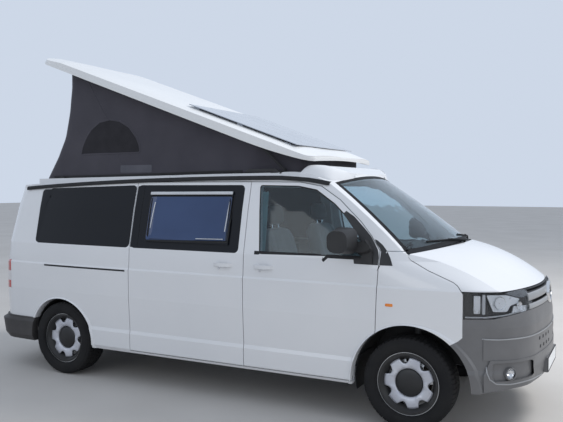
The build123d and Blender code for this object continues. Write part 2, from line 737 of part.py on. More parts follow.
lamp_x, lamp_y, lamp_low, lamp_high = TAIL_LAMP
with BuildPart() as tail_lamp_right:
    add(WALL)
    add(block(-2700, lamp_x - SEAT_GAP, -HALF, -lamp_y, lamp_low, lamp_high), mode=Mode.INTERSECT)
with BuildPart() as tail_lamps:
    add(tail_lamp_right.part)
    add(mirrored(tail_lamp_right.part))
save(tail_lamps.part, "tail_lamps")


# Roof rails along the gutter, with the levers' mounts
RAIL_BAND = (-32, -4)
# The rail's front end drops to the windscreen's corner
RAIL_FRONT = ((640, 1888.8), (880, 1872), (1055, 1842))
with BuildPart() as rail_line:
    add(rail_band(-2240, 660, *RAIL_BAND))
    with BuildSketch(Plane.XZ):
        with BuildLine():
            low, high = ([(x, z + move) for x, z in RAIL_FRONT] for move in RAIL_BAND)
            ThreePointArc(*low)
            Line(low[2], high[2])
            ThreePointArc(*reversed(high))
            Line(high[0], low[0])
        make_face()
    extrude(amount=HALF)
with BuildPart() as rail_right:
    add(layer(-12, 0))
    add(rail_line.part, mode=Mode.INTERSECT)
with BuildPart() as lever_mount_right:
    mount_x, mount_z = LEVER_BASE
    inner_y = LEVER_Y - 2
    add(block(250, mount_x + 30, -inner_y, -inner_y + 8, 1890, 1928))
    add(cross_cylinder(mount_x, mount_z, 16, -inner_y, -inner_y + 8))
    add(cross_cylinder(mount_x, mount_z, 6, -inner_y - LEVER_THICK - 6, -inner_y))
    add(block(250, 520, -706, -684, 1890, 1926))
    add(body_form(-SEAT_GAP), mode=Mode.SUBTRACT)
    add(platform(SEAT_GAP), mode=Mode.SUBTRACT)
with BuildPart() as roof_rails:
    for piece in (rail_right.part, lever_mount_right.part):
        add(piece)
        add(mirrored(piece))
save(roof_rails.part, "roof_rails")


def arms(x_from, x_to, z_from, z_to, y_from, y_to, height):
    """A pair of straight suspension arms, one each side."""
    with BuildPart() as pair:
        for side in (1, -1):
            with BuildSketch(Plane.XZ.offset(-side * y_from)):
                with Locations((x_from, z_from)):
                    Rectangle(90, height)
            with BuildSketch(Plane.XZ.offset(-side * y_to)):
                with Locations((x_to, z_to)):
                    Rectangle(60, height)
            loft()
    return pair.part


ARM_END_Z = 206
STEER_LOW = Vector(FRONT_AXLE_X, -725, 250)
STEER_HIGH = Vector(FRONT_AXLE_X, -600, 850)
STEER_DIRECTION = (STEER_HIGH - STEER_LOW).normalized()
KNUCKLE_START = 10


def steer_rod(radius, start, end):
    """A cylinder about the right wheel's steering axis, between two distances along it."""
    with BuildPart() as rod:
        with BuildSketch(Plane(origin=STEER_LOW + STEER_DIRECTION * start, z_dir=STEER_DIRECTION)):
            Circle(radius)
        extrude(amount=end - start)
    return rod.part


RAIL_LOW_Z = 420

# Floor with its rails, bulkhead, seat boxes and front subframe
SEAT_Y = 470
with BuildPart() as floor_pan:
    add(body_form(SIDE_WALL + SEAT_GAP))
    add(block(-2560, 1560, -HALF, HALF, FLOOR_Z - FLOOR_THICK, FLOOR_Z), mode=Mode.INTERSECT)
    for side in (1, -1):
        low, high = sorted((side * 640, side * 1000))
        add(block(REAR_AXLE_X - 400, REAR_AXLE_X + 400, low, high, 300, 700), mode=Mode.SUBTRACT)
        low, high = sorted((side * 455, side * 1000))
        add(block(1290, 1600, low, high, 300, 700), mode=Mode.SUBTRACT)
        low, high = sorted((side * 350, side * 420))
        add(block(-2470, 2480, low, high, RAIL_LOW_Z, 532))
    for cross_x in (-2400, -1000, -200, 600, 1300, 2400):
        add(block(cross_x - 35, cross_x + 35, -419, 419, 430, 532))
    add(block(1530, 1560, -455, 455, FLOOR_Z, 1180))
    add(block(1530, 1560, -620, 620, 800, 1180))
    for side in (1, -1):
        low, high = sorted((side * (SEAT_Y - 200), side * (SEAT_Y + 200)))
        add(block(580, 1000, low, high, FLOOR_Z, 800 - SEAT_GAP))
    add(block(FRONT_AXLE_X - 200, FRONT_AXLE_X + 60, -400, 400, 330, RAIL_LOW_Z + 1))
    add(arms(FRONT_AXLE_X - 40, FRONT_AXLE_X, 375, ARM_END_Z, 349, 745, 30))
    add(steer_rod(14, -25, KNUCKLE_START - SEAT_GAP))
    add(mirrored(steer_rod(14, -25, KNUCKLE_START - SEAT_GAP)))
save(floor_pan.part, "floor_pan")


# Pop roof, drawn closed and then raised about its levers
def lever_at(turn):
    """The lever's tip, its arm turned from the raised place."""
    dx = LEVER_TIP[0] - LEVER_BASE[0]
    dz = LEVER_TIP[1] - LEVER_BASE[1]
    angle = radians(turn)
    return (LEVER_BASE[0] + dx * cos(angle) - dz * sin(angle),
            LEVER_BASE[1] + dx * sin(angle) + dz * cos(angle))


CLOSED_TIP = lever_at(LEVER_TURN)


def raised(part):
    """A piece of the closed pop roof, moved to where the raised roof holds it."""
    tip_x, tip_z = CLOSED_TIP
    turned = part.rotate(Axis((tip_x, 0, tip_z), (0, 1, 0)), ROOF_TURN)
    return turned.moved(Location((LEVER_TIP[0] - tip_x, 0, LEVER_TIP[1] - tip_z)))


def shell_plan(inset):
    """The pop roof's outline in plan, narrower at the front."""
    half = SHELL_HALF - inset
    front = SHELL_FRONT_HALF - inset
    with BuildLine() as outline:
        ThreePointArc((SHELL_REAR_X + inset, -620), (SHELL_REAR_X - 40 + inset, 0), (SHELL_REAR_X + inset, 620))
        ThreePointArc((SHELL_FRONT_X - inset, -front), (SHELL_FRONT_X + 24 - inset, 0),
                      (SHELL_FRONT_X - inset, front))
        for side in (1, -1):
            Line((SHELL_REAR_X + 125, side * half), (SHELL_TAPER_X, side * half))
            TangentArc((SHELL_REAR_X + 125, side * half), (SHELL_REAR_X + inset, side * 620), tangent=(-1, 0))
            taper = TangentArc((SHELL_TAPER_X, side * half), (SHELL_FRONT_X - 90, side * (half - 22)),
                               tangent=(1, 0))
            TangentArc((SHELL_FRONT_X - 90, side * (half - 22)), (SHELL_FRONT_X - inset, side * front),
                       tangent=taper % 1)
    return outline.line


def shell_z(x, y=SHELL_HALF):
    """Height of the closed pop roof's lower edge: straight, then curving up to the front lip."""
    start, height, slope, bend = SHELL_EDGE
    beyond = max(x - start, 0)
    return height + slope * (x - start) + bend * beyond ** 2 + SHELL_LOW_CROWN * (1 - (y / SHELL_HALF) ** 2)


def shell_form(inset, low):
    """The pop roof's outer or inner form: its plan outline between two crowned surfaces."""
    rear_x, rear_top_x, front_top_x, front_x = (SHELL_REAR_X - 60, SHELL_REAR_X + 260, 420, SHELL_FRONT_X + 50)
    bend_x = SHELL_EDGE[0]
    half_bend = (bend_x + front_x) / 2
    with BuildPart() as form:
        edge_y = SHELL_HALF + LIP_OUT + 1
        for y, drop in ((-edge_y, SHELL_CROWN), (-600, 11), (0, 0), (600, 11), (edge_y, SHELL_CROWN)):
            level = SHELL_DEPTH + SHELL_CROWN - drop - inset
            top = [(x, shell_z(x) + rise) for x, rise in
                   ((rear_x, 26 + SHELL_CROWN - drop - inset), (rear_top_x, level), (-900, level),
                    (front_top_x, level), (front_x, 18 + SHELL_CROWN - drop - inset))]
            bottom = [(x, shell_z(x, y) + low) for x in (front_x, half_bend, bend_x, rear_x)]
            with BuildSketch(Plane.XZ.offset(-y)):
                with BuildLine():
                    Line(bottom[3], top[0])
                    Line(top[0], top[1])
                    ThreePointArc(top[1], (top[2][0], top[2][1] + 4), top[3])
                    Line(top[3], top[4])
                    Line(top[4], bottom[0])
                    ThreePointArc(bottom[0], bottom[1], bottom[2])
                    Line(bottom[2], bottom[3])
                make_face()
        loft()
        with BuildSketch(Plane.XY.offset(1700)):
            with BuildLine():
                add(shell_plan(inset))
            make_face()
        extrude(amount=500, mode=Mode.INTERSECT)
    return form.part


with BuildPart() as closed_roof:
    # The wider lip along the lower edge
    add(shell_form(-LIP_OUT, 0))
    add(shell_form(-LIP_OUT - 1, LIP_HEIGHT), mode=Mode.SUBTRACT)
    add(shell_form(0, 0))
    add(shell_form(SHELL_WALL, -20), mode=Mode.SUBTRACT)
    for side in (1, -1):
        low, high = sorted((side * (LEVER_Y + LEVER_THICK + 2), side * (LEVER_Y + 24)))
        tip_x, tip_z = CLOSED_TIP
        with BuildPart(mode=Mode.PRIVATE) as ear:
            add(block(tip_x - 40, tip_x + 40, low, high, tip_z - 11, tip_z + 60))
            add(shell_form(2, -20), mode=Mode.INTERSECT)
        add(ear.part)
        add(cross_cylinder(tip_x, tip_z, 6, *sorted((side * (LEVER_Y - 2), side * (LEVER_Y + 20)))))
pop_roof = save(raised(closed_roof.part), "pop_roof")

PANEL_X = (-560, 591)
PANEL_HALF = 620
PANEL_LIFT = 10
PANEL_THICK = 6
panel_line = [(x, SHELL_EDGE[1] + SHELL_EDGE[2] * (x - SHELL_EDGE[0]) + SHELL_DEPTH + SHELL_CROWN + PANEL_LIFT)
              for x in PANEL_X]
with BuildPart() as closed_panel:
    add(side_prism([*panel_line, *[(x, z + PANEL_THICK) for x, z in reversed(panel_line)]],
                   -PANEL_HALF, PANEL_HALF))
    with BuildPart(mode=Mode.PRIVATE) as feet:
        for foot_x in (-480, 0, 500):
            for side in (1, -1):
                add(block(foot_x - 30, foot_x + 30, *sorted((side * 540, side * 600)), 1900, 1990))
        add(shell_form(-SEAT_GAP, -20), mode=Mode.SUBTRACT)
        add(side_prism([*panel_line, (PANEL_X[1], 1700), (PANEL_X[0], 1700)], -HALF, HALF), mode=Mode.INTERSECT)
    add(feet.part)
solar_panel = save(raised(closed_panel.part), "solar_panel")

LEVER_ANGLE = degrees(atan2(LEVER_TIP[1] - LEVER_BASE[1], LEVER_TIP[0] - LEVER_BASE[0]))
with BuildPart() as roof_levers:
    for side in (1, -1):
        low, high = sorted((side * LEVER_Y, side * (LEVER_Y + LEVER_THICK)))
        with BuildSketch(Plane.XZ.offset(-high)):
            with Locations(((LEVER_BASE[0] + LEVER_TIP[0]) / 2, (LEVER_BASE[1] + LEVER_TIP[1]) / 2)):
                length = ((LEVER_BASE[0] - LEVER_TIP[0]) ** 2 + (LEVER_BASE[1] - LEVER_TIP[1]) ** 2) ** 0.5
                SlotCenterToCenter(length, LEVER_WIDTH, rotation=LEVER_ANGLE)
            with Locations(LEVER_BASE, LEVER_TIP):
                Circle(6.5, mode=Mode.SUBTRACT)
        extrude(amount=high - low)
save(roof_levers.part, "roof_levers")

# Interior
SEAT_PARTS = (
    # x from, x to, half width, z from, z to, lean at the top
    (560, 1040, 250, 800, 930, 0),
    (470, 600, 245, 930 + SEAT_GAP, 1440, -120),
    (375, 460, 130, 1440 + SEAT_GAP, 1640, -20),
)


def seat_at(y):
    """A front seat: cushion, backrest and headrest, leaning back."""
    with BuildPart() as seat:
        for x_from, x_to, half, low, high, lean in SEAT_PARTS:
            with BuildSketch(Plane.XY.offset(low)):
                with Locations(((x_from + x_to) / 2, y)):
                    RectangleRounded(x_to - x_from, 2 * half, 40)
            with BuildSketch(Plane.XY.offset(high)):
                with Locations(((x_from + x_to) / 2 + lean, y)):
                    RectangleRounded(x_to - x_from - 20, 2 * half - 40, 30)
            loft()
    return seat.part


with BuildPart() as front_seats:
    for side in (1, -1):
        add(seat_at(side * SEAT_Y))
save(front_seats.part, "front_seats")

WHEEL_HUB = (1240, 1130)
COLUMN_TILT = 35
COLUMN_RADIUS = 18


def column_plane():
    """The steering wheel's face, its normal along the column towards the driver."""
    return Plane(origin=(WHEEL_HUB[0], SEAT_Y, WHEEL_HUB[1]), x_dir=(0, 1, 0),
                 z_dir=(-cos(radians(COLUMN_TILT)), 0, sin(radians(COLUMN_TILT))))


with BuildPart() as dashboard:
    with BuildSketch(Plane.XZ.offset(-780)):
        with BuildLine():
            Polyline((1340, 1010), (1300, 1100), (1340, 1190), (1450, 1240), (1620, 1240), (1700, 1190),
                     (1700, 1180.5), (1450, 1180.5), (1450, 1010), close=True)
        make_face()
    extrude(amount=1560)
    add(body_form(SIDE_WALL + SEAT_GAP), mode=Mode.INTERSECT)
    with BuildSketch(column_plane()):
        Circle(COLUMN_RADIUS + 0.5)
    extrude(amount=-400, mode=Mode.SUBTRACT)
save(dashboard.part, "dashboard")

with BuildPart() as steering_wheel:
    hub = column_plane()
    with BuildSketch(hub):
        Circle(60)
    extrude(amount=-35)
    with BuildSketch(hub.offset(-10)):
        Circle(190)
        Circle(162, mode=Mode.SUBTRACT)
        with PolarLocations(110, 3, start_angle=30):
            Rectangle(120, 34)
    extrude(amount=-24)
    with BuildSketch(hub.offset(-35)):
        Circle(COLUMN_RADIUS)
    extrude(amount=-100)
save(steering_wheel.part, "steering_wheel")

with BuildPart() as rear_bench:
    with BuildSketch(Plane.XZ.offset(-300)):
        with BuildLine():
            Polyline((-1250, FLOOR_Z + SEAT_GAP), (-1250, 1440), (-1130, 1440), (-1020, 960), (-560, 990),
                     (-560, 850), (-640, 840), (-640, FLOOR_Z + SEAT_GAP), close=True)
        make_face()
    extrude(amount=960)
save(rear_bench.part, "rear_bench")

with BuildPart() as kitchen_unit:
    add(body_form(SIDE_WALL + SEAT_GAP))
    add(block(-2300, 240, 380, 900, FLOOR_Z + SEAT_GAP, 1230), mode=Mode.INTERSECT)
    add(block(REAR_AXLE_X - 400, REAR_AXLE_X + 390, 600, 900, 500, 735), mode=Mode.SUBTRACT)
save(kitchen_unit.part, "kitchen_unit")

# Engine, exhaust and the underbody
with BuildPart() as engine:
    add(block(1820, 2330, -350 + SEAT_GAP, 350 - SEAT_GAP, 440, 1050))
save(engine.part, "engine")

with BuildPart() as exhaust:
    with BuildLine() as pipe:
        FilletPolyline((1500, -180, 390), (700, -180, 390), (400, -230, 390), (-700, -230, 390), radius=60)
    with BuildSketch(Plane(origin=pipe.line @ 0, z_dir=pipe.line % 0)):
        Circle(26)
    sweep()
    add(block(-1230, -690, -345, -110, 330, 430 - SEAT_GAP))
save(exhaust.part, "exhaust")

with BuildPart() as fuel_tank:
    add(block(-700, 500, 60, 345, 250, 430 - SEAT_GAP))
save(fuel_tank.part, "fuel_tank")

SPINDLE_RADIUS = 27.5
with BuildPart() as rear_axle:
    add(block(REAR_AXLE_X + 260, REAR_AXLE_X + 380, -560, 560, 330, RAIL_LOW_Z - SEAT_GAP))
    for side in (1, -1):
        low, high = sorted((side * 430, side * 560))
        add(block(REAR_AXLE_X - 60, REAR_AXLE_X + 300, low, high, 300, 400))
        add(cross_cylinder(REAR_AXLE_X, TYRE_RADIUS, 60, *sorted((side * 420, side * 640))))
        add(cross_cylinder(REAR_AXLE_X, TYRE_RADIUS, SPINDLE_RADIUS, *sorted((side * 600, side * (TRACK / 2 + 2)))))
save(rear_axle.part, "rear_axle")


# Knuckles with their struts, on the inclined steering axis
with BuildPart() as knuckle_right:
    add(steer_rod(26, KNUCKLE_START, 150))
    add(steer_rod(24, 150, 530))
    add(block(FRONT_AXLE_X - 45, FRONT_AXLE_X + 45, -725, -665, 280, 430))
    add(cross_cylinder(FRONT_AXLE_X, TYRE_RADIUS, SPINDLE_RADIUS, -TRACK / 2 - 2, -700))
save(knuckle_right.part, "knuckle_right")
save(mirrored(knuckle_right.part), "knuckle_left")


# Wheels and tyres
BEAD = RIM_RADIUS + SEAT_GAP
FLANGE_RADIUS = 234
TYRE_PROFILE = ((BEAD, -83.5), (FLANGE_RADIUS + 0.5, -83.5), (FLANGE_RADIUS + 0.5, -96), (268, -TYRE_WIDTH / 2),
                (322, -108), (TYRE_RADIUS, -86), (TYRE_RADIUS, 86), (322, 108),
                (268, TYRE_WIDTH / 2), (FLANGE_RADIUS + 0.5, 96), (FLANGE_RADIUS + 0.5, 83.5), (BEAD, 83.5))
TYRE_INNER = ((BEAD, 66), (300, 92), (326, 70), (326, -70), (300, -92), (BEAD, -66))
RIM_PROFILE = ((FLANGE_RADIUS, -92), (FLANGE_RADIUS, -84), (RIM_RADIUS, -84), (206, -60), (188, -10), (188, 40),
               (206, 70), (RIM_RADIUS, 84), (FLANGE_RADIUS, 84), (FLANGE_RADIUS, 92), (214, 92), (198, 66), (178, 40),
               (178, -10), (178, -14), (214, -92))
# Steel disc across the wheel, from the hub to the well, as seen from outside
DISC_PROFILE = ((28, -14), (28, -4), (92, -4), (104, 40), (108, 50), (134, 50), (150, 20), (188.5, 10),
                (188.5, 0), (144, 8), (126, 38), (112, 38), (104, -14))
CAP_PROFILE = ((0, 44), (0, 62), (60, 58), (96, 50), (106, 44))
NOTCHES = 7
# Distance from the axle, length, width and corner radius of the notches in the disc's outer part
NOTCH = (170, 60, 72, 24)


def wheel_ring(profile, origin, direction):
    """A ring about the wheel's axle from a profile of radius and offset."""
    with BuildPart() as ring:
        with BuildSketch(Plane(origin=origin, x_dir=(0, 0, 1), z_dir=(1, 0, 0))):
            with BuildLine():
                Polyline(*[(radius, -direction * along) for radius, along in profile], close=True)
            make_face()
        revolve(axis=Axis(origin, (0, 1, 0)))
    return ring.part


def wheel_at(x, side):
    """Tyre and steel wheel at one corner of the van."""
    origin = (x, side * TRACK / 2, TYRE_RADIUS)
    with BuildPart() as tyre:
        add(wheel_ring(TYRE_PROFILE, origin, side))
        add(wheel_ring(TYRE_INNER, origin, side), mode=Mode.SUBTRACT)
    with BuildPart() as wheel:
        add(wheel_ring(DISC_PROFILE, origin, side))
        with BuildSketch(Plane(origin=origin, x_dir=(1, 0, 0), z_dir=(0, side, 0))):
            distance, length, width, corner = NOTCH
            with PolarLocations(distance, NOTCHES, start_angle=90):
                RectangleRounded(length, width, corner)
        extrude(amount=80, mode=Mode.SUBTRACT)
        add(wheel_ring(CAP_PROFILE, origin, side))
        add(wheel_ring(RIM_PROFILE, origin, side))
    return tyre.part, wheel.part


for name, axle_x, side in (("front_right", FRONT_AXLE_X, -1), ("front_left", FRONT_AXLE_X, 1),
                           ("rear_right", REAR_AXLE_X, -1), ("rear_left", REAR_AXLE_X, 1)):
    tyre, wheel = wheel_at(axle_x, side)
    save(tyre, f"tyre_{name}")
    save(wheel, f"wheel_{name}")


# Wheel liners inside the arches
LINER_THICK = 6
LINER_OUT_Y = 872
with BuildPart() as liners_right:
    for (arch_x, arch_z, radius), inner_y in ((FRONT_ARCH, 462), (REAR_ARCH, 668)):
        with BuildSketch(Plane.XZ.offset(LINER_OUT_Y)):
            with Locations((arch_x, arch_z)):
                Circle(radius - SEAT_GAP)
                Circle(radius - SEAT_GAP - LINER_THICK, mode=Mode.SUBTRACT)
        extrude(amount=-(LINER_OUT_Y - inner_y))
        with BuildSketch(Plane.XZ.offset(inner_y + LINER_THICK)):
            with Locations((arch_x, arch_z)):
                Circle(radius - SEAT_GAP)
                Circle(120, mode=Mode.SUBTRACT)
        extrude(amount=-LINER_THICK)
    add(block(-3000, 3000, -1000, 0, -200, 420), mode=Mode.SUBTRACT)
with BuildPart() as wheel_liners:
    add(liners_right.part)
    add(mirrored(liners_right.part))
save(wheel_liners.part, "wheel_liners")

# Tent between the roof and the raised shell
TENT_LINE = ((-2092, 1800), (-1971, 2096), (-1877, 2285), (-1816, 2539), (-1781, 2774), (-1780, 2955),
             (640, 2090), (640, 1860))
TENT_HALF = 660
TENT_THICK = 8
with BuildPart() as tent:
    add(side_prism(TENT_LINE, -TENT_HALF, TENT_HALF))
    add(side_prism(((-3000, 1500), (-3000, 3300), (1500, 3300), (1500, 1500)), -TENT_HALF + TENT_THICK,
                   TENT_HALF - TENT_THICK), mode=Mode.SUBTRACT)
    with BuildPart(mode=Mode.PRIVATE) as rear_cloth:
        add(side_prism(TENT_LINE, -TENT_HALF, TENT_HALF))
        add(side_prism([(x + TENT_THICK, z) for x, z in TENT_LINE[:6]] + [(700, 2955), (700, 1780)],
                       -TENT_HALF, TENT_HALF), mode=Mode.SUBTRACT)
    add(rear_cloth.part)
    add(body_form(-SEAT_GAP), mode=Mode.SUBTRACT)
    add(platform(SEAT_GAP), mode=Mode.SUBTRACT)
save(tent.part, "tent")
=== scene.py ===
import json
import math

import bmesh
import bpy
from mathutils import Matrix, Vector
from mathutils.bvhtree import BVHTree


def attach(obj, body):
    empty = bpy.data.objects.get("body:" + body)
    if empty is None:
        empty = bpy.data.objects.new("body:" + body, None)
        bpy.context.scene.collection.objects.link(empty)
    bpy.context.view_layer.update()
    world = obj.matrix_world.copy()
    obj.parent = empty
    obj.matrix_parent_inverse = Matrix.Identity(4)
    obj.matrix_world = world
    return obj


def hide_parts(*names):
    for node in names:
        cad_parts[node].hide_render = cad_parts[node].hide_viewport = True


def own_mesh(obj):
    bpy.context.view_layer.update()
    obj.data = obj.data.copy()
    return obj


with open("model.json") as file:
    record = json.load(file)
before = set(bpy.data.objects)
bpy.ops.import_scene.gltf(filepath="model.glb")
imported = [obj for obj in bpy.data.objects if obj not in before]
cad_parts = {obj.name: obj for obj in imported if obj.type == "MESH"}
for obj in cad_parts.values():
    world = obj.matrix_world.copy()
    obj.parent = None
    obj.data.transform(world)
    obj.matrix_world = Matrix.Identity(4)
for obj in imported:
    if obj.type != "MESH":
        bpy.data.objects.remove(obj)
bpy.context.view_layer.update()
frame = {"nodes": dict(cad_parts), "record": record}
nodes = frame["nodes"]

# Metres. X points forward, Y to the van's left, Z up. "Side" is -1 on the right and 1 on the left.
AXLES = {"front": 1.752, "rear": -1.648}
WHEEL_Y = 0.814
WHEEL_Z = 0.345
CORNERS = ("front_right", "front_left", "rear_right", "rear_left")
SIDES = ((-1, "right"), (1, "left"))

# Camera, lights and floor
scene = bpy.context.scene
scene.view_settings.view_transform = "Standard"
# The photo's width and focal length, both in its pixels
PHOTO_WIDTH = 563
PHOTO_FOCAL = 690
SENSOR_WIDTH = 36
CAMERA_PLACE = (3.240, -5.803, 1.795)
CAMERA_DROP = 1.99
CAMERA_TURN = 27.35
camera_data = bpy.data.cameras.new("camera")
camera_data.sensor_width = SENSOR_WIDTH
camera_data.lens = SENSOR_WIDTH * PHOTO_FOCAL / PHOTO_WIDTH
camera_data.clip_end = 200
camera = bpy.data.objects.new("camera", camera_data)
camera.location = CAMERA_PLACE
camera.rotation_euler = (math.radians(90 - CAMERA_DROP), 0, math.radians(CAMERA_TURN))
scene.collection.objects.link(camera)
scene.camera = camera


def area_light(name, place, target, size, power):
    """A soft lamp that faces a point."""
    data = bpy.data.lights.new(name, "AREA")
    data.shape = "RECTANGLE"
    data.size, data.size_y = size
    data.energy = power
    lamp = bpy.data.objects.new(name, data)
    lamp.location = place
    lamp.rotation_euler = (Vector(target) - Vector(place)).to_track_quat("-Z", "Y").to_euler()
    scene.collection.objects.link(lamp)
    return lamp


key = area_light("key", (6.5, 4.5, 9.0), (0.3, 0, 1.4), (3.5, 3.5), 900)
key.visible_glossy = False
key.visible_transmission = False
area_light("front", (10.0, -3.0, 3.5), (2.0, 0, 0.9), (4.0, 3.0), 110)
area_light("side", (-1.0, -11.0, 5.0), (0, 0, 1.2), (8.0, 4.0), 90)


# Node materials
class Shader:
    """A material's node tree with short calls for the nodes used here."""

    def __init__(self, name):
        self.material = bpy.data.materials.new(name)
        self.material.use_nodes = True
        self.tree = self.material.node_tree
        self.surface = self.tree.nodes["Principled BSDF"]

    def node(self, kind, **values):
        made = self.tree.nodes.new(kind)
        for key, value in values.items():
            if hasattr(made, key):
                setattr(made, key, value)
            else:
                made.inputs[key.replace("_", " ")].default_value = value
        return made

    def link(self, source, target):
        self.tree.links.new(source, target)

    def set(self, **values):
        for key, value in values.items():
            self.surface.inputs[key.replace("_", " ")].default_value = value

    def noise(self, scale, detail=4):
        noise = self.node("ShaderNodeTexNoise", Scale=scale, Detail=detail)
        self.link(self.node("ShaderNodeTexCoord").outputs["Object"], noise.inputs["Vector"])
        return noise.outputs["Fac"]

    def colours(self, source, first, second):
        """The base colour, between two colours."""
        ramp = self.node("ShaderNodeValToRGB")
        for element, place, colour in zip(ramp.color_ramp.elements, (0.3, 0.7), (first, second)):
            element.position = place
            element.color = (*colour, 1)
        self.link(source, ramp.inputs["Fac"])
        self.link(ramp.outputs["Color"], self.surface.inputs["Base Color"])

    def roughness(self, source, low, high):
        ranged = self.node("ShaderNodeMapRange", To_Min=low, To_Max=high)
        self.link(source, ranged.inputs["Value"])
        self.link(ranged.outputs["Result"], self.surface.inputs["Roughness"])

    def bump(self, source, strength, distance):
        bump = self.node("ShaderNodeBump", Strength=strength, Distance=distance)
        self.link(source, bump.inputs["Height"])
        self.link(bump.outputs["Normal"], self.surface.inputs["Normal"])


MATERIALS = {}


def look(name, first, second, rough, grain=None, scale=6, slot=None, **values):
    """A finish with slow colour variation, uneven gloss and an optional fine grain."""
    made = Shader(name)
    made.colours(made.noise(scale), first, second)
    made.roughness(made.noise(scale * 2.3), *rough)
    if grain:
        grain_scale, strength, distance = grain
        made.bump(made.noise(grain_scale, detail=2), strength, distance)
    made.set(**values)
    MATERIALS[name] = made.material


def glass(name, colour, transmission, roughness=0.02, ior=1.45):
    """Thin tinted glass: clear to the eye, with a sharp reflection."""
    made = Shader(name)
    made.set(Base_Color=(*colour, 1), Roughness=roughness, IOR=ior, Transmission_Weight=transmission)
    made.bump(made.noise(3.0, detail=1), 0.002, 0.001)
    MATERIALS[name] = made.material


# Finishes of the record's slots
look("white_paint", (0.70, 0.705, 0.715), (0.735, 0.735, 0.74), (0.20, 0.27), scale=1.5, Coat_Weight=0.7,
     Coat_Roughness=0.06)
look("roof_shell", (0.74, 0.74, 0.735), (0.78, 0.78, 0.77), (0.28, 0.36), (60, 0.05, 0.001), scale=2,
     Coat_Weight=0.3, Coat_Roughness=0.15)
look("grey_bumper", (0.125, 0.123, 0.124), (0.150, 0.148, 0.149), (0.36, 0.46), (900, 0.2, 0.0005), scale=5)
look("black_plastic", (0.013, 0.013, 0.014), (0.022, 0.022, 0.023), (0.42, 0.6), (900, 0.25, 0.0005))
look("black_metal", (0.012, 0.012, 0.013), (0.02, 0.02, 0.021), (0.35, 0.5), Metallic=0.4)
look("underbody", (0.03, 0.03, 0.032), (0.055, 0.053, 0.05), (0.55, 0.8), (40, 0.3, 0.002))
look("seat_cloth", (0.20, 0.215, 0.22), (0.27, 0.285, 0.29), (0.85, 0.95), (700, 0.5, 0.0008),
     Sheen_Weight=0.3)
look("cabin_plastic", (0.035, 0.036, 0.04), (0.05, 0.051, 0.055), (0.5, 0.65), (500, 0.3, 0.0005))
look("furniture", (0.42, 0.40, 0.36), (0.48, 0.46, 0.42), (0.4, 0.55), scale=3)
look("tyre", (0.008, 0.008, 0.009), (0.015, 0.0145, 0.0145), (0.72, 0.88), (250, 0.2, 0.0006),
     Specular_IOR_Level=0.3)
look("steel_wheel", (0.50, 0.51, 0.52), (0.58, 0.59, 0.60), (0.28, 0.4), (300, 0.05, 0.0004), Metallic=0.75)
look("exhaust_steel", (0.22, 0.20, 0.18), (0.36, 0.34, 0.32), (0.35, 0.6), Metallic=0.9)
look("cast_metal", (0.10, 0.10, 0.10), (0.17, 0.165, 0.16), (0.55, 0.75), (120, 0.4, 0.001), Metallic=0.6)
look("tail_lens", (0.40, 0.012, 0.010), (0.46, 0.018, 0.014), (0.08, 0.14), scale=20, Coat_Weight=0.8)
look("solar_cells", (0.30, 0.33, 0.38), (0.38, 0.41, 0.46), (0.12, 0.2), scale=2, Coat_Weight=0.8)
look("tent_cloth", (0.032, 0.029, 0.040), (0.044, 0.040, 0.052), (0.7, 0.85), (600, 0.35, 0.0006), scale=3,
     Sheen_Weight=0.25)
glass("clear_glass", (0.62, 0.75, 0.80), 1.0)
glass("dark_glass", (0.008, 0.009, 0.012), 0.0, 0.04, 1.33)
glass("lamp_lens", (0.95, 0.96, 0.97), 1.0)

# Further finishes of the added pieces
# The rear bumper's grey darkened as painted shade, over a real fine grain
look("rear_painted_shade", (0.040, 0.037, 0.037), (0.056, 0.052, 0.051), (0.5, 0.65), (900, 0.25, 0.0006),
     slot="grey_bumper")
# Dark pane whose blue colour is a painted reflection of the sky
look("painted_sky_glass", (0.018, 0.040, 0.110), (0.030, 0.060, 0.150), (0.02, 0.05), (3, 0.02, 0.001), scale=1.2,
     slot="dark_glass")
look("rubber", (0.006, 0.006, 0.007), (0.012, 0.012, 0.013), (0.6, 0.8), (300, 0.2, 0.0004),
     slot="black_plastic")
look("cap_black", (0.012, 0.012, 0.013), (0.019, 0.019, 0.020), (0.32, 0.45), (500, 0.1, 0.0003),
     slot="black_plastic")
# Black for the rims' wells and lips: painted shade over the silver steel
look("rim_painted_shade", (0.016, 0.016, 0.017), (0.030, 0.029, 0.028), (0.4, 0.6), (200, 0.15, 0.0005),
     slot="black_metal")
look("chrome", (0.70, 0.71, 0.72), (0.78, 0.78, 0.79), (0.06, 0.12), Metallic=1.0, slot="steel_wheel")
look("reflector", (0.80, 0.82, 0.85), (0.90, 0.91, 0.93), (0.22, 0.36), (140, 0.3, 0.002), Metallic=0.35,
     slot="steel_wheel")
# Silver of the grille bars, also the light grey of painted highlights on the front bumper's ledges
look("silver_trim_and_highlight", (0.30, 0.305, 0.31), (0.37, 0.375, 0.38), (0.35, 0.5), (800, 0.1, 0.0003), Metallic=0.3,
     slot="grey_bumper")
look("light_bar", (0.55, 0.56, 0.58), (0.62, 0.63, 0.65), (0.35, 0.5), (300, 0.05, 0.0003),
     slot="grey_bumper")
look("steel_face", (0.50, 0.51, 0.56), (0.62, 0.63, 0.67), (0.32, 0.45), (300, 0.05, 0.0004), Metallic=0.35,
     slot="steel_wheel")
look("amber_lens", (0.75, 0.20, 0.02), (0.82, 0.25, 0.03), (0.1, 0.18), scale=20, Coat_Weight=0.8,
     slot="tail_lens")
look("white_lens", (0.62, 0.60, 0.60), (0.70, 0.68, 0.68), (0.1, 0.18), (200, 0.3, 0.001), Coat_Weight=0.8,
     slot="lamp_lens")
look("blank_plate", (0.74, 0.75, 0.75), (0.79, 0.79, 0.78), (0.3, 0.42), (400, 0.05, 0.0002),
     slot="white_paint")
look("mesh_cloth", (0.012, 0.011, 0.014), (0.022, 0.020, 0.025), (0.8, 0.95), (1400, 0.8, 0.0008),
     slot="tent_cloth")
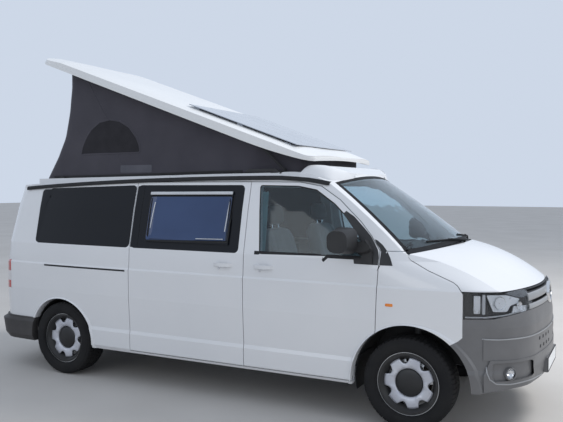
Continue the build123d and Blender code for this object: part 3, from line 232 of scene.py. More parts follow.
look("patch_cloth", (0.075, 0.075, 0.09), (0.095, 0.093, 0.11), (0.6, 0.75), (600, 0.3, 0.0005),
     slot="tent_cloth")
look("piping", (0.06, 0.065, 0.07), (0.09, 0.095, 0.10), (0.7, 0.85), (500, 0.3, 0.0005), slot="seat_cloth")
look("curtain_cloth", (0.26, 0.42, 0.44), (0.33, 0.50, 0.51), (0.8, 0.95), (500, 0.4, 0.0006),
     Sheen_Weight=0.3, slot="seat_cloth")
look("brake_iron", (0.06, 0.055, 0.05), (0.13, 0.10, 0.08), (0.5, 0.75), (150, 0.4, 0.001), Metallic=0.6,
     slot="cast_metal")
look("cell_line", (0.55, 0.57, 0.60), (0.62, 0.64, 0.67), (0.25, 0.4), Metallic=0.4, slot="solar_cells")

# Nodes that wear a darker finish than their slot's. The rear bumper's darker grey is painted shade; the roof
# rails' rubber is their own black.
DARKER = {"rear_bumper": "rear_painted_shade", "roof_rails": "rubber"}
for part in frame["record"]["subparts"]:
    node = nodes[part["node"]]
    node.data.materials.clear()
    node.data.materials.append(MATERIALS[DARKER.get(part["node"], part["material_slot"])])

floor_shader = Shader("pale_floor")
floor_shader.colours(floor_shader.noise(0.8), (0.50, 0.475, 0.445), (0.55, 0.525, 0.495))
floor_shader.set(Roughness=0.9)
floor_mesh = bpy.data.meshes.new("floor")
FLOOR_SIZE = 60
floor_corners = [(x * FLOOR_SIZE, y * FLOOR_SIZE, 0) for x, y in ((-1, -1), (1, -1), (1, 1), (-1, 1))]
floor_mesh.from_pydata(floor_corners, [], [(0, 1, 2, 3)])
floor = bpy.data.objects.new("floor", floor_mesh)
floor_mesh.materials.append(floor_shader.material)
scene.collection.objects.link(floor)

world = bpy.data.worlds.new("world")
scene.world = world
world.use_nodes = True
backdrop = world.node_tree.nodes["Background"]
backdrop.inputs["Color"].default_value = (0.68, 0.76, 0.89, 1)
backdrop.inputs["Strength"].default_value = 0.9


# Mesh helpers
def add_piece(name, vertices, faces, finish, body="body", smooth=40, bevel=0.0, fix=True):
    """A mesh object with a finish, riding on a body."""
    mesh = bpy.data.meshes.new(name)
    mesh.from_pydata([tuple(vertex) for vertex in vertices], [], faces)
    if fix:
        shape = bmesh.new()
        shape.from_mesh(mesh)
        bmesh.ops.recalc_face_normals(shape, faces=shape.faces[:])
        shape.to_mesh(mesh)
        shape.free()
    mesh.materials.append(MATERIALS[finish])
    mesh.shade_smooth()
    mesh.set_sharp_from_angle(angle=math.radians(smooth))
    piece = bpy.data.objects.new(name, mesh)
    scene.collection.objects.link(piece)
    if bevel:
        edge = piece.modifiers.new("edge", "BEVEL")
        edge.width = bevel
        edge.segments = 2
        edge.limit_method = "ANGLE"
    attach(piece, body)
    return piece


def quads(rows, size, ring=False, loop=True):
    """Faces between rows of points. A ring joins the last row to the first, a loop each row's two ends."""
    faces = []
    for row in range(rows if ring else rows - 1):
        following = (row + 1) % rows
        for index in range(size if loop else size - 1):
            other = (index + 1) % size
            faces.append([row * size + index, row * size + other, following * size + other,
                          following * size + index])
    return faces


def turned(faces):
    """The same four-sided faces, each read the other way round."""
    return [[first, fourth, third, second] for first, second, third, fourth in faces]


def capped(rows, size):
    """Faces of a bar: those between its rows of points and its two ends."""
    return quads(rows, size) + [list(range(size)), list(range((rows - 1) * size, rows * size))]


def prism(name, ends, finish, bevel, body="body"):
    """A bar between two outlines, each a list of points."""
    first, second = ends
    return add_piece(name, first + second, capped(2, len(first)), finish, body, bevel=bevel)


def rim_faces(shape):
    """Faces that join the free edges of a sheet to those of its copy."""
    count = len(shape.verts)
    faces = []
    for edge in shape.edges:
        if len(edge.link_faces) == 1:
            first, second = (vertex.index for vertex in edge.verts)
            faces.append([first, second, second + count, first + count])
    return faces


def solid_faces(shape):
    """Faces of a solid between a sheet and its copy."""
    count = len(shape.verts)
    faces = [[vertex.index for vertex in face.verts] for face in shape.faces]
    faces += [[vertex.index + count for vertex in reversed(face.verts)] for face in shape.faces]
    return faces + rim_faces(shape)


def tree_of(*names):
    """A search tree over the faces of some nodes."""
    vertices = []
    faces = []
    for name in names:
        mesh = nodes[name].data
        start = len(vertices)
        vertices.extend(vertex.co.copy() for vertex in mesh.vertices)
        faces.extend([start + index for index in polygon.vertices] for polygon in mesh.polygons)
    return BVHTree.FromPolygons(vertices, faces)


def surface(tree, origin, direction):
    """Where a ray meets a tree, with the normal that faces the ray."""
    direction = Vector(direction)
    place, normal, _, _ = tree.ray_cast(Vector(origin), direction)
    if place is None:
        place, normal, _, _ = tree.find_nearest(Vector(origin))
    return place, (-normal if normal.dot(direction) > 0 else normal)


SKIN = tree_of("body_side_right", "body_side_left", "roof_panel", "front_wings", "bonnet", "cowl",
               "windscreen", "front_door_right", "front_door_left", "door_glass_right", "door_glass_left",
               "side_windows", "sliding_door", "sliding_door_window", "tailgate", "tailgate_glass",
               "front_bumper", "rear_bumper", "headlamps", "grille", "tail_lamps")


def side_view(side, tree=SKIN):
    return lambda x, z: surface(tree, (x, side * 1.5, z), (0, -side, 0))


def front_view(y, z):
    return surface(SKIN, (3.5, y, z), (-1, 0, 0))


def rear_view(y, z):
    return surface(SKIN, (-3.5, y, z), (1, 0, 0))


def top_view(x, y, tree=SKIN):
    return surface(tree, (x, y, 4), (0, 0, -1))


def rounded(points, radius, steps=5):
    """A polygon with its corners rounded."""
    out = []
    count = len(points)
    for index, point in enumerate(points):
        corner = Vector(point)
        before = Vector(points[index - 1]) - corner
        after = Vector(points[(index + 1) % count]) - corner
        reach = min(radius, before.length * 0.45, after.length * 0.45)
        start = corner + before.normalized() * reach
        end = corner + after.normalized() * reach
        for step in range(steps + 1):
            t = step / steps
            out.append(tuple((1 - t) ** 2 * start + 2 * t * (1 - t) * corner + t ** 2 * end))
    return out


def box_outline(u_from, u_to, v_from, v_to, radius=0.006):
    return rounded([(u_from, v_from), (u_to, v_from), (u_to, v_to), (u_from, v_to)], radius)


def plate(name, outline, project, finish, body="body", lift=-0.001, thick=0.003, step=0.04, bevel=0.0008):
    """A thin plate laid on a surface, with its outline given in two coordinates."""
    shape = bmesh.new()
    shape.faces.new([shape.verts.new((u, v, 0)) for u, v in outline])
    for axis in (0, 1):
        low = min(point[axis] for point in outline)
        high = max(point[axis] for point in outline)
        count = int((high - low) / step)
        for index in range(1, count + 1):
            place = [0.0, 0.0, 0.0]
            place[axis] = low + index * (high - low) / (count + 1)
            geometry = shape.verts[:] + shape.edges[:] + shape.faces[:]
            bmesh.ops.bisect_plane(shape, geom=geometry, plane_co=place, plane_no=(1 - axis, axis, 0))
    shape.verts.index_update()
    places = [project(vertex.co.x, vertex.co.y) for vertex in shape.verts]
    vertices = [place + normal * (lift + thick) for place, normal in places]
    vertices += [place + normal * lift for place, normal in places]
    faces = solid_faces(shape)
    shape.free()
    return add_piece(name, vertices, faces, finish, body, bevel=bevel)


ROUND_SECTION = ((-0.5, 0), (-0.5, 0.5), (-0.4, 0.85), (-0.2, 1), (0.2, 1), (0.4, 0.85), (0.5, 0.5), (0.5, 0))


def strip(name, places, finish, width, height, body="body", lift=-0.001, closed=False,
          section=ROUND_SECTION):
    """A raised strip along a line of places on a surface, each a point and its normal."""
    vertices = []
    count = len(places)
    size = len(section)
    for index, (place, normal) in enumerate(places):
        if closed:
            before, after = places[index - 1][0], places[(index + 1) % count][0]
        else:
            before, after = places[max(index - 1, 0)][0], places[min(index + 1, count - 1)][0]
        across = (after - before).normalized().cross(normal).normalized()
        for along, rise in section:
            vertices.append(place + across * along * width + normal * (lift + rise * height))
    faces = quads(count, size, ring=True) if closed else capped(count, size)
    return add_piece(name, vertices, faces, finish, body)


def line_on(project, points, step=0.03):
    """Places on a surface along a line given in two coordinates."""
    places = []
    for (u, v), (u_next, v_next) in zip(points, points[1:]):
        count = max(1, int(math.hypot(u_next - u, v_next - v) / step))
        for index in range(count):
            t = index / count
            places.append(project(u + (u_next - u) * t, v + (v_next - v) * t))
    places.append(project(*points[-1]))
    return places


def lathe(name, profile, centre, axis, finish, body="body", steps=64, smooth=35):
    """A closed profile of radius and offset, turned about an axis."""
    axis = Vector(axis).normalized()
    first = axis.orthogonal().normalized()
    second = axis.cross(first)
    centre = Vector(centre)
    vertices = []
    for step in range(steps):
        turn = math.tau * step / steps
        outward = first * math.cos(turn) + second * math.sin(turn)
        vertices.extend(centre + axis * along + outward * radius for radius, along in profile)
    faces = quads(steps, len(profile), ring=True)
    piece = add_piece(name, vertices, faces, finish, body, smooth=smooth)
    weld = bmesh.new()
    weld.from_mesh(piece.data)
    bmesh.ops.remove_doubles(weld, verts=weld.verts[:], dist=0.00002)
    bmesh.ops.recalc_face_normals(weld, faces=weld.faces[:])
    weld.to_mesh(piece.data)
    weld.free()
    return piece


def tube(name, points, radii, finish, body="body", sides=10):
    """A round bar along a line of points, with a radius at each point."""
    points = [Vector(point) for point in points]
    vertices = []
    up = Vector((0, 0, 1))
    for index, (point, size) in enumerate(zip(points, radii)):
        along = (points[min(index + 1, len(points) - 1)] - points[max(index - 1, 0)]).normalized()
        across = along.cross(up)
        if across.length < 0.05:
            across = along.cross(Vector((1, 0, 0)))
        across.normalize()
        second = along.cross(across)
        for side in range(sides):
            turn = math.tau * side / sides
            vertices.append(point + (across * math.cos(turn) + second * math.sin(turn)) * size)
    return add_piece(name, vertices, capped(len(points), sides), finish, body)


# Wheels: tyres with a grooved tread, black caps, black sleeves in the rims' wells as painted shade, bright
# faces and brake discs
PITCHES = 60
# Place within a pitch, and whether the tread is cut there
PITCH = ((0.0, 0), (0.04, 1), (0.16, 1), (0.20, 0), (0.60, 0))
# Offset from the tyre's middle, radius, and whether the cross cuts reach it
TREAD = (
    (0.0, 0.3450, 0), (0.010, 0.3450, 0), (0.0112, 0.3372, 0), (0.0192, 0.3372, 0), (0.0205, 0.3449, 1),
    (0.043, 0.3446, 1), (0.0442, 0.3368, 0), (0.0522, 0.3368, 0), (0.0535, 0.3443, 0), (0.062, 0.3440, 1),
    (0.074, 0.3436, 1), (0.086, 0.3425, 1), (0.094, 0.3400, 1), (0.100, 0.3362, 1), (0.1045, 0.3310, 1),
    (0.1070, 0.3260, 0), (0.1092, 0.3200, 0), (0.1110, 0.3165, 0), (0.1118, 0.3130, 0), (0.1142, 0.3118, 0),
    (0.1160, 0.3000, 0), (0.1170, 0.2880, 0), (0.1174, 0.2760, 0), (0.1168, 0.2640, 0), (0.1150, 0.2540, 0),
    (0.1125, 0.2490, 0), (0.1146, 0.2470, 0), (0.1138, 0.2420, 0), (0.1060, 0.2375, 0), (0.0975, 0.2355, 0),
    (0.0925, 0.2350, 0), (0.0880, 0.2345, 0), (0.0862, 0.2280, 0), (0.0850, 0.2225, 0),
)
TREAD_CUT = 0.0055
TREAD_SLANT = 0.25


def corner_of(corner):
    """Where a wheel is along the van, and its side."""
    axle, hand = corner.split("_")
    return AXLES[axle], (-1 if hand == "right" else 1)


def tyre(corner):
    """One tyre, in place of its plain node."""
    x, side = corner_of(corner)
    rows = [(-along, radius, cut) for along, radius, cut in reversed(TREAD)] + list(TREAD[1:])
    vertices = []
    for pitch in range(PITCHES):
        for share, deep in PITCH:
            for along, radius, cut in rows:
                slant = math.copysign(TREAD_SLANT, along) if cut else 0
                turn = math.tau * (pitch + share + slant * (abs(along) - 0.05) * 8) / PITCHES
                reach = radius - (TREAD_CUT if deep and cut else 0)
                vertices.append((x + reach * math.cos(turn), side * (WHEEL_Y + along),
                                 WHEEL_Z + reach * math.sin(turn)))
    faces = quads(PITCHES * len(PITCH), len(rows), ring=True)
    piece = add_piece("road_tyre_" + corner, vertices, faces, "tyre", "wheel_" + corner, smooth=32)
    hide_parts("tyre_" + corner)


CAP_PROFILE = ((0, 0.0665), (0.030, 0.0658), (0.060, 0.0630), (0.084, 0.0582), (0.098, 0.0530),
               (0.1045, 0.0480), (0.1065, 0.0440), (0, 0.0440))
# A black sleeve over the rim's well and lip, painted shade
RIM_SHADE_PROFILE = ((0.1778, 0.0145), (0.1778, 0.0400), (0.1975, 0.0663), (0.2130, 0.0915), (0.2290, 0.0917),
                  (0.2300, 0.0926), (0.2290, 0.0934), (0.2122, 0.0932), (0.1960, 0.0668), (0.1768, 0.0405),
                  (0.1768, 0.0145))
FACE_RINGS = ((0.1075, 0.0500), (0.1120, 0.0560), (0.1200, 0.0612), (0.1320, 0.0648), (0.1450, 0.0660),
              (0.1600, 0.0657), (0.1750, 0.0635), (0.1900, 0.0605))
NOTCHES = 7
NOTCH_STEPS = 24
# Steps by which the notches are turned, half a notch's share of its pitch, and its depth
NOTCH_TURN = 17
NOTCH_HALF = 0.225
NOTCH_DEEP = 0.043
FACE_RADIUS = 0.1895
BRAKE_PROFILE = ((0.030, -0.030), (0.150, -0.030), (0.153, -0.034), (0.153, -0.048), (0.150, -0.052),
                 (0.030, -0.052))


def wheel_face(corner):
    """The steel disc's bright face, with notches in its outer edge."""
    x, side = corner_of(corner)
    steps = NOTCHES * NOTCH_STEPS
    inner, outer = FACE_RINGS[0][0], FACE_RINGS[-1][0]
    vertices = []
    for step in range(steps):
        turn = math.tau * step / steps
        place = ((step + NOTCH_TURN) % NOTCH_STEPS) / NOTCH_STEPS - 0.5
        notch = max(0.0, 1 - (place / NOTCH_HALF) ** 2) ** 0.5
        reach = FACE_RADIUS - NOTCH_DEEP * notch
        for radius, along in FACE_RINGS:
            share = (radius - inner) / (outer - inner)
            out = inner + share * (reach - inner)
            rise = along if out >= radius - 0.001 else along + (radius - out) * 0.08
            vertices.append((x + out * math.sin(turn), side * (WHEEL_Y + rise),
                             WHEEL_Z + out * math.cos(turn)))
    faces = quads(steps, len(FACE_RINGS), ring=True, loop=False)
    face = add_piece("wheel_face_" + corner, vertices, faces, "steel_face", "wheel_" + corner, smooth=50)
    thickness = face.modifiers.new("plate", "SOLIDIFY")
    thickness.thickness = 0.003
    thickness.offset = 1


for corner in CORNERS:
    tyre(corner)
    x, side = corner_of(corner)
    centre = (x, side * WHEEL_Y, WHEEL_Z)
    wheel = "wheel_" + corner
    lathe("hub_cap_" + corner, CAP_PROFILE, centre, (0, side, 0), "cap_black", wheel)
    wheel_face(corner)
    lathe("rim_well_shade_" + corner, RIM_SHADE_PROFILE, centre, (0, side, 0), "rim_painted_shade", wheel, steps=96)
    carrier = "knuckle_" + corner.split("_")[1] if corner.startswith("front") else "body"
    lathe("brake_disc_" + corner, BRAKE_PROFILE, centre, (0, side, 0), "brake_iron", carrier)


# Headlamps: clear lenses copied from the lamps' outer faces, over a dark housing with bright reflectors
def outer_faces(node, side, outward):
    """A copy of a node's faces that look outwards on one side, with their normals."""
    shape = bmesh.new()
    shape.from_mesh(nodes[node].data)
    direction = Vector(outward)
    drop = [face for face in shape.faces
            if face.normal.dot(direction) < 0.3 or abs(face.normal.z) > 0.8
            or face.calc_center_median().y * side < 0]
    bmesh.ops.delete(shape, geom=drop, context="FACES")
    bmesh.ops.remove_doubles(shape, verts=shape.verts[:], dist=0.0001)
    bmesh.ops.recalc_face_normals(shape, faces=shape.faces[:])
    if sum(face.normal.dot(direction) * face.calc_area() for face in shape.faces) < 0:
        bmesh.ops.reverse_faces(shape, faces=shape.faces[:])
    shape.normal_update()
    shape.verts.index_update()
    return shape


def slab_of(shape, lift, thick):
    """Vertices and faces between two offsets of an open sheet."""
    vertices = [vertex.co + vertex.normal * (lift + thick) for vertex in shape.verts]
    vertices += [vertex.co + vertex.normal * lift for vertex in shape.verts]
    return vertices, solid_faces(shape)


def cup_of(shape, depth):
    """The floor and walls of a box behind an open sheet."""
    count = len(shape.verts)
    vertices = [vertex.co - vertex.normal * 0.0045 for vertex in shape.verts]
    vertices += [vertex.co - vertex.normal * depth for vertex in shape.verts]
    faces = [[vertex.index + count for vertex in face.verts] for face in shape.faces]
    return vertices, faces + rim_faces(shape)


def bowl(name, centre, axis, radius, depth, finish):
    """A round reflector that opens along its axis, with a bulb in its middle."""
    rings = 12
    profile = [(radius * index / rings, -depth * (1 - (index / rings) ** 2)) for index in range(rings + 1)]
    profile += [(radius * 1.04, 0.001), (radius * 1.04, -0.004)]
    profile += [(radius * index / rings + 0.002, -depth * (1 - (index / rings) ** 2) - 0.004)
                for index in range(rings - 1, -1, -1)]
    lathe(name, profile, centre, axis, finish, steps=40, smooth=50)
    bulb = [(0, -depth * 0.98), (radius * 0.13, -depth * 0.9), (radius * 0.13, -depth * 0.35),
            (radius * 0.08, -depth * 0.2), (0, -depth * 0.16)]
    lathe(name + "_bulb", bulb, centre, axis, "white_lens", steps=20)


LAMP_DEPTH = 0.052
for side, hand in SIDES:
    sheet = outer_faces("headlamps", side, (0.7, side * 0.7, 0))
    vertices, faces = slab_of(sheet, -0.003, 0.003)
    lens = add_piece("headlamp_lens_" + hand, vertices, faces, "lamp_lens")
    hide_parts("headlamps")
    vertices, faces = cup_of(sheet, LAMP_DEPTH)
    cup = add_piece("headlamp_housing_" + hand, vertices, faces, "cap_black", fix=False)
    solid = cup.modifiers.new("wall", "SOLIDIFY")
    solid.thickness = 0.0012
    sheet.free()
    skin = side_view(side)
    # Bright box of the turn lamp and the upright light strip beside it
    plate("turn_lamp_box_" + hand, box_outline(2.224, 2.268, 0.902, 1.028, 0.008), skin, "reflector",
          lift=-0.036, thick=0.026, bevel=0.002)
    plate("turn_lamp_lens_" + hand, box_outline(2.229, 2.263, 0.908, 0.955, 0.005), skin, "white_lens",
          lift=-0.014, thick=0.004, bevel=0.001)
    plate("lamp_strip_" + hand, box_outline(2.281, 2.300, 0.898, 1.036, 0.006), skin, "light_bar",
          lift=-0.036, thick=0.026, bevel=0.002)
    # Bright panels round the bowls
    upper = [(2.308, 1.034), (2.430, 1.031), (2.510, 0.998), (2.494, 0.966), (2.458, 0.955), (2.440, 0.912),
             (2.352, 0.916)]
    plate("lamp_panel_" + hand, rounded(upper, 0.01), skin, "reflector", lift=-0.026, thick=0.010,
          bevel=0.002)
    lower = [(2.476, 0.950), (2.553, 0.944), (2.548, 0.905), (2.468, 0.894)]
    plate("lamp_step_" + hand, rounded(lower, 0.008), skin, "reflector", lift=-0.026, thick=0.012,
          bevel=0.002)
    place, normal = skin(2.392, 0.975)
    bowl("main_reflector_" + hand, place - normal * 0.010, normal + Vector((0.25, 0, 0)), 0.046, 0.030,
         "chrome")
    place, normal = skin(2.505, 0.948)
    bowl("inner_reflector_" + hand, place - normal * 0.008, normal + Vector((0.3, 0, 0)), 0.030, 0.024,
         "chrome")
    low_line = line_on(skin, [(2.168, 0.873), (2.300, 0.876), (2.420, 0.888), (2.535, 0.912)], 0.02)
    strip("lamp_low_bar_" + hand, low_line, "light_bar", 0.011, 0.004, lift=-0.016)

# Grille bars and the bare ring in their middle
GRILLE_HALF = 0.580
BAR_SECTION = ((-0.5, 0), (-0.5, 0.3), (-0.42, 0.75), (-0.25, 0.95), (0, 1), (0.25, 0.95), (0.42, 0.75),
               (0.5, 0.3), (0.5, 0))
for low, high, name in ((0.972, 1.027, "upper"), (0.911, 0.950, "lower")):
    middle = (low + high) / 2
    places = [front_view(-GRILLE_HALF + 2 * GRILLE_HALF * step / 44, middle) for step in range(45)]
    strip("grille_bar_" + name, places, "silver_trim_and_highlight", high - low, 0.010, section=BAR_SECTION)
place = Vector((front_view(0, 0.930)[0].x + 0.006, 0, 0.968))
RING = ((0.064, 0.000), (0.062, 0.006), (0.066, 0.011), (0.073, 0.013), (0.080, 0.011), (0.084, 0.004),
        (0.084, -0.012), (0.064, -0.012))
DISC = ((0, 0.004), (0.040, 0.003), (0.062, 0.001), (0.063, -0.010), (0, -0.010))
lathe("grille_ring", RING, place, (1, 0, 0.04), "chrome", steps=72)
lathe("grille_disc", DISC, place, (1, 0, 0.04), "cap_black", steps=48)

# Front bumper: fog lamps in their wells, dark plates as the painted shade of small holes, and a blank plate
FOG_PLACE = Vector((2.460, -0.776, 0.476))
FOG_AXIS = Vector((0.70, -0.71, 0)).normalized()
FOG_RING = ((0.036, -0.006), (0.036, 0.006), (0.040, 0.010), (0.045, 0.008), (0.0465, 0.0), (0.0465, -0.020),
            (0.040, -0.020))
FOG_LENS = ((0, 0.002), (0.018, 0.0015), (0.030, -0.001), (0.0365, -0.005), (0.0365, -0.008), (0, -0.008))
for side, hand in SIDES:
    mirror = Vector((1, -side, 1))
    centre = FOG_PLACE * mirror
    axis = FOG_AXIS * mirror
    lathe("fog_ring_" + hand, FOG_RING, centre, axis, "grey_bumper")
    lathe("fog_lens_" + hand, FOG_LENS, centre, axis, "lamp_lens")
    bowl("fog_reflector_" + hand, centre - axis * 0.009, axis, 0.036, 0.022, "chrome")
    # Dark plates stand in for small holes: painted shade of their insides
    for row, (y_start, z) in enumerate(((0.427, 0.680), (0.403, 0.616))):
        for column in range(4):
            y = side * (y_start - 0.088 * column)
            hole = box_outline(y - 0.014, y + 0.014, z - 0.012, z + 0.012, 0.004)
            plate(f"bumper_hole_{hand}_{row}_{column}", hole, front_view, "rubber", thick=0.0018, bevel=0)
    # Painted highlights: light grey strips along the band's top ledge and along the lip under the fog lamp
    ridge = line_on(side_view(side), [(2.281, 0.727), (2.386, 0.722), (2.500, 0.723), (2.585, 0.723)], 0.02)
    ridge += [front_view(side * y, 0.722) for y in (0.44, 0.38, 0.30, 0.22, 0.14, 0.06)]
    if side < 0:
        ridge.append(front_view(0, 0.722))
    strip("band_painted_highlight_" + hand, ridge, "silver_trim_and_highlight", 0.009, 0.0035)
    lip = line_on(side_view(side), [(2.309, 0.530), (2.316, 0.489), (2.334, 0.444), (2.374, 0.411),
                                    (2.451, 0.403), (2.538, 0.406)], 0.015)
    lip += [front_view(side * y, 0.405 - 0.02 * (0.62 - y) / 0.3)
            for y in (0.60, 0.54, 0.48, 0.42, 0.36, 0.31)]
    strip("fog_lip_painted_highlight_" + hand, lip, "silver_trim_and_highlight", 0.009, 0.005)


def number_plate(name, x, z, facing, body):
    """A blank plate with a dark edge on its flat seat."""
    vertices = []
    rings = ((0.260, 0.055, 0.0), (0.260, 0.055, 0.0045), (0.254, 0.049, 0.0045), (0.252, 0.047, 0.0028))
    for half, tall, out in rings:
        outline = box_outline(-half, half, -tall, tall, 0.008)
        vertices.extend((x + facing * out, y, z + rise) for y, rise in outline)
    faces = quads(len(rings), len(outline)) + [list(range(len(outline)))]
    add_piece(name + "_frame", vertices, faces, "rubber", body)
    inner = box_outline(-0.2515, 0.2515, -0.0465, 0.0465, 0.007)
    sheets = [[(x + facing * out, y, z + rise) for y, rise in inner] for out in (0.0005, 0.0036)]
    prism(name, sheets, "blank_plate", 0.0008, body)


number_plate("front_plate", 2.6495, 0.444, 1, "body")
number_plate("rear_plate", -2.5575, 0.982, -1, "tailgate")


# Tent: one stretched cloth all round between the roof and the raised shell
ROOF = tree_of("roof_panel", "body_side_right", "body_side_left")
# The cloth's rear edge: height and place along the van
REAR_CURVE = ((1.80, -2.165), (1.913, -2.092), (2.096, -1.970), (2.285, -1.874), (2.539, -1.813),
              (2.774, -1.778), (3.0, -1.777))
TENT_FRONT = 0.775
TENT_HALF = 0.657


def rear_edge(z):
    """Where the tent's rear edge is at a height."""
    for (low, x_low), (high, x_high) in zip(REAR_CURVE, REAR_CURVE[1:]):
        if z <= high:
            return x_low + (x_high - x_low) * (z - low) / (high - low)
    return REAR_CURVE[-1][1]


def tent_top(x):
    return 2.955 - (x + 1.78) * 0.357


def roof_height(x, y):
    return top_view(x, y, ROOF)[0].z


# Share of the length from front to rear, and the distance from the middle
TENT_PLAN = [(0.0, 0.0), (0.0, 0.20), (0.0, 0.40), (0.0, 0.56), (0.006, 0.60), (0.02, 0.615), (0.08, 0.622),
             (0.135, 0.630), (0.15, 0.645), (0.165, TENT_HALF)]
TENT_PLAN += [(0.165 + 0.815 * step / 44, TENT_HALF) for step in range(1, 45)]
TENT_PLAN += [(0.988, 0.654), (0.9945, 0.645), (0.9985, 0.632), (1.0, 0.615)]
TENT_PLAN += [(1.0, 0.615 * (1 - step / 14)) for step in range(1, 15)]
TENT_ROWS = 26


def tent_place(share, half, side, rise):
    """A point of the cloth: share of the length, distance from the middle, and share of the height."""
    x = TENT_FRONT + share * (rear_edge(1.95) - TENT_FRONT)
    for _ in range(4):
        low = roof_height(x, side * half) + 0.002
        high = tent_top(x)
        z = low + (high - low) * rise
        x = TENT_FRONT + share * (rear_edge(z) - TENT_FRONT)
    # The pull between the fixed edges, the bow of the rear wall, and small folds
    tall = high - low
    middle = math.sin(math.pi * rise)
    pull = 0.017 * middle * min(1, tall) * math.sin(math.pi * min(1, max(0, share))) ** 0.5
    bow = 0.030 * middle * (1 - (half / TENT_HALF) ** 2) * share ** 8
    along = x + half * 0.3
    fold = 0.0016 * math.sin(9.5 * along + 5.0 * z + side) + 0.0011 * math.sin(23 * along - 14 * z + 2 * side)
    fold += 0.0018 * math.exp(-((1 - rise) / 0.06) ** 2) * math.sin(46 * along)
    fold += 0.0014 * math.exp(-(rise / 0.05) ** 2) * math.sin(39 * along + 1.0)
    fold *= min(1, tall * 2)
    shift = max(0, pull + fold)
    if half >= 0.05:
        half -= shift * min(1, (half / TENT_HALF) ** 6)
    return Vector((x + bow, side * half, z))


tent_columns = [(share, half, -1) for share, half in TENT_PLAN]
tent_columns += [(share, half, 1) for share, half in reversed(TENT_PLAN[1:-1])]
tent_vertices = [tent_place(share, half, side, row / TENT_ROWS) for share, half, side in tent_columns
                 for row in range(TENT_ROWS + 1)]
tent_faces = turned(quads(len(tent_columns), TENT_ROWS + 1, ring=True, loop=False))
tent_cloth = add_piece("tent_walls", tent_vertices, tent_faces, "tent_cloth", smooth=60)
weave = tent_cloth.modifiers.new("weave", "SOLIDIFY")
weave.thickness = 0.0012
weave.offset = 0
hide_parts("tent")


tent_feet = tent_vertices[::TENT_ROWS + 1]
tent_tops = tent_vertices[TENT_ROWS::TENT_ROWS + 1]
tent_height = max((top - foot).length for foot, top in zip(tent_feet, tent_tops))
TENT = BVHTree.FromPolygons(tent_vertices, tent_faces)
CLOTH_LIFT = 0.0012


def on_tent(side):
    """Places just off the tent's side, given x and z."""
    def project(x, z):
        place, normal = surface(TENT, (x, side * 1.2, z), (0, -side, 0))
        return place + normal * CLOTH_LIFT, normal
    return project


HALF_MOON = [(-1.650, 2.115), (-1.635, 2.180), (-1.603, 2.245), (-1.565, 2.300), (-1.520, 2.351),
             (-1.412, 2.422), (-1.289, 2.443), (-1.168, 2.424), (-1.050, 2.360), (-0.967, 2.265),
             (-0.935, 2.200), (-0.921, 2.140), (-0.935, 2.118)]
SEAM = [(-1.560, 2.850), (-1.532, 2.800), (-1.471, 2.690), (-1.392, 2.560), (-1.320, 2.452)]
LOW_SEAM = [(-1.210, 2.112), (-1.165, 2.050), (-1.125, 1.985)]
PATCH = box_outline(-1.15, -0.78, 1.930, 2.002, 0.015)
TENT_PIECES = []
for side, hand in SIDES:
    cloth = on_tent(side)
    edge = line_on(cloth, HALF_MOON + HALF_MOON[:1], 0.04)[:-1]
    hem_line = [-2.0 + 2.2 * step / 50 for step in range(51)]
    hem = [cloth(x, roof_height(x, side * TENT_HALF) + 0.014) for x in hem_line]
    TENT_PIECES += [
        plate("tent_window_" + hand, HALF_MOON, cloth, "mesh_cloth", lift=0, thick=0.0012, step=0.05,
              bevel=0),
        strip("tent_window_edge_" + hand, edge, "tent_cloth", 0.016, 0.003, closed=True),
        strip("tent_seam_" + hand, line_on(cloth, SEAM), "tent_cloth", 0.010, 0.0025),
        strip("tent_low_seam_" + hand, line_on(cloth, LOW_SEAM), "tent_cloth", 0.008, 0.002),
        plate("tent_patch_" + hand, PATCH, cloth, "patch_cloth", lift=0, thick=0.0012, bevel=0),
        strip("tent_hem_" + hand, hem, "rubber", 0.022, 0.004),
    ]
for piece in [tent_cloth, *TENT_PIECES]:
    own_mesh(piece)

# Base plates of the levers and a latch on the roof
for side, hand in SIDES:
    low = roof_height(0.40, side * 0.70)
    outline = rounded([(0.262, low - 0.004), (0.262, low + 0.030), (0.300, low + 0.036), (0.545, low + 0.036),
                       (0.600, low + 0.004), (0.600, low - 0.004)], 0.006)
    prism("lever_base_" + hand, [[(x, side * y, z) for x, z in outline] for y in (0.682, 0.700)], "cap_black",
          0.002)
    plate("roof_latch_" + hand, box_outline(-1.878, -1.837, side * 0.69 - 0.012, side * 0.69 + 0.012, 0.004),
          lambda x, y: top_view(x, y, ROOF), "cap_black", thick=0.018, bevel=0.002)


# Seats: crowned, stitched pads in place of the plain forms
def pad(name, centre, half, finish, lean=0.0, crown=0.15, power=5.0, grooves=(), bolster=0.0, thick_axis=2,
        cells=26):
    """A stuffed pad: a rounded box with bulging faces and pressed-in seams."""
    shape = bmesh.new()
    bmesh.ops.create_cube(shape, size=2)
    bmesh.ops.subdivide_edges(shape, edges=shape.edges[:], cuts=cells - 1, use_grid_fill=True)
    wide, long = [axis for axis in range(3) if axis != thick_axis]
    for vertex in shape.verts:
        point = vertex.co.copy()
        size = sum(abs(value) ** power for value in point) ** (1 / power)
        reach = max(abs(value) for value in point)
        point *= reach / size
        across, along, through = point[wide], point[long], point[thick_axis]
        swell = 1 + crown * (1 - across ** 2) * (1 - along ** 2)
        swell += bolster * abs(across) ** 3 * (1 - along ** 4) * (1 - abs(across) ** 12)
        for axis, place, depth in grooves:
            swell -= depth * math.exp(-((point[axis] - place) / 0.035) ** 2)
        wrinkle = 0.012 * math.sin(7 * across + 3 * along) * math.sin(5 * along + 1)
        point[thick_axis] = through * (swell + wrinkle * abs(through))
        vertex.co = Vector(point[axis] * half[axis] for axis in range(3))
        vertex.co.x += lean * vertex.co.z
        vertex.co += Vector(centre)
    vertices = [vertex.co.copy() for vertex in shape.verts]
    shape.verts.index_update()
    faces = [[vertex.index for vertex in face.verts] for face in shape.faces]
    shape.free()
    piece = add_piece(name, vertices, faces, finish, smooth=70)
    return piece


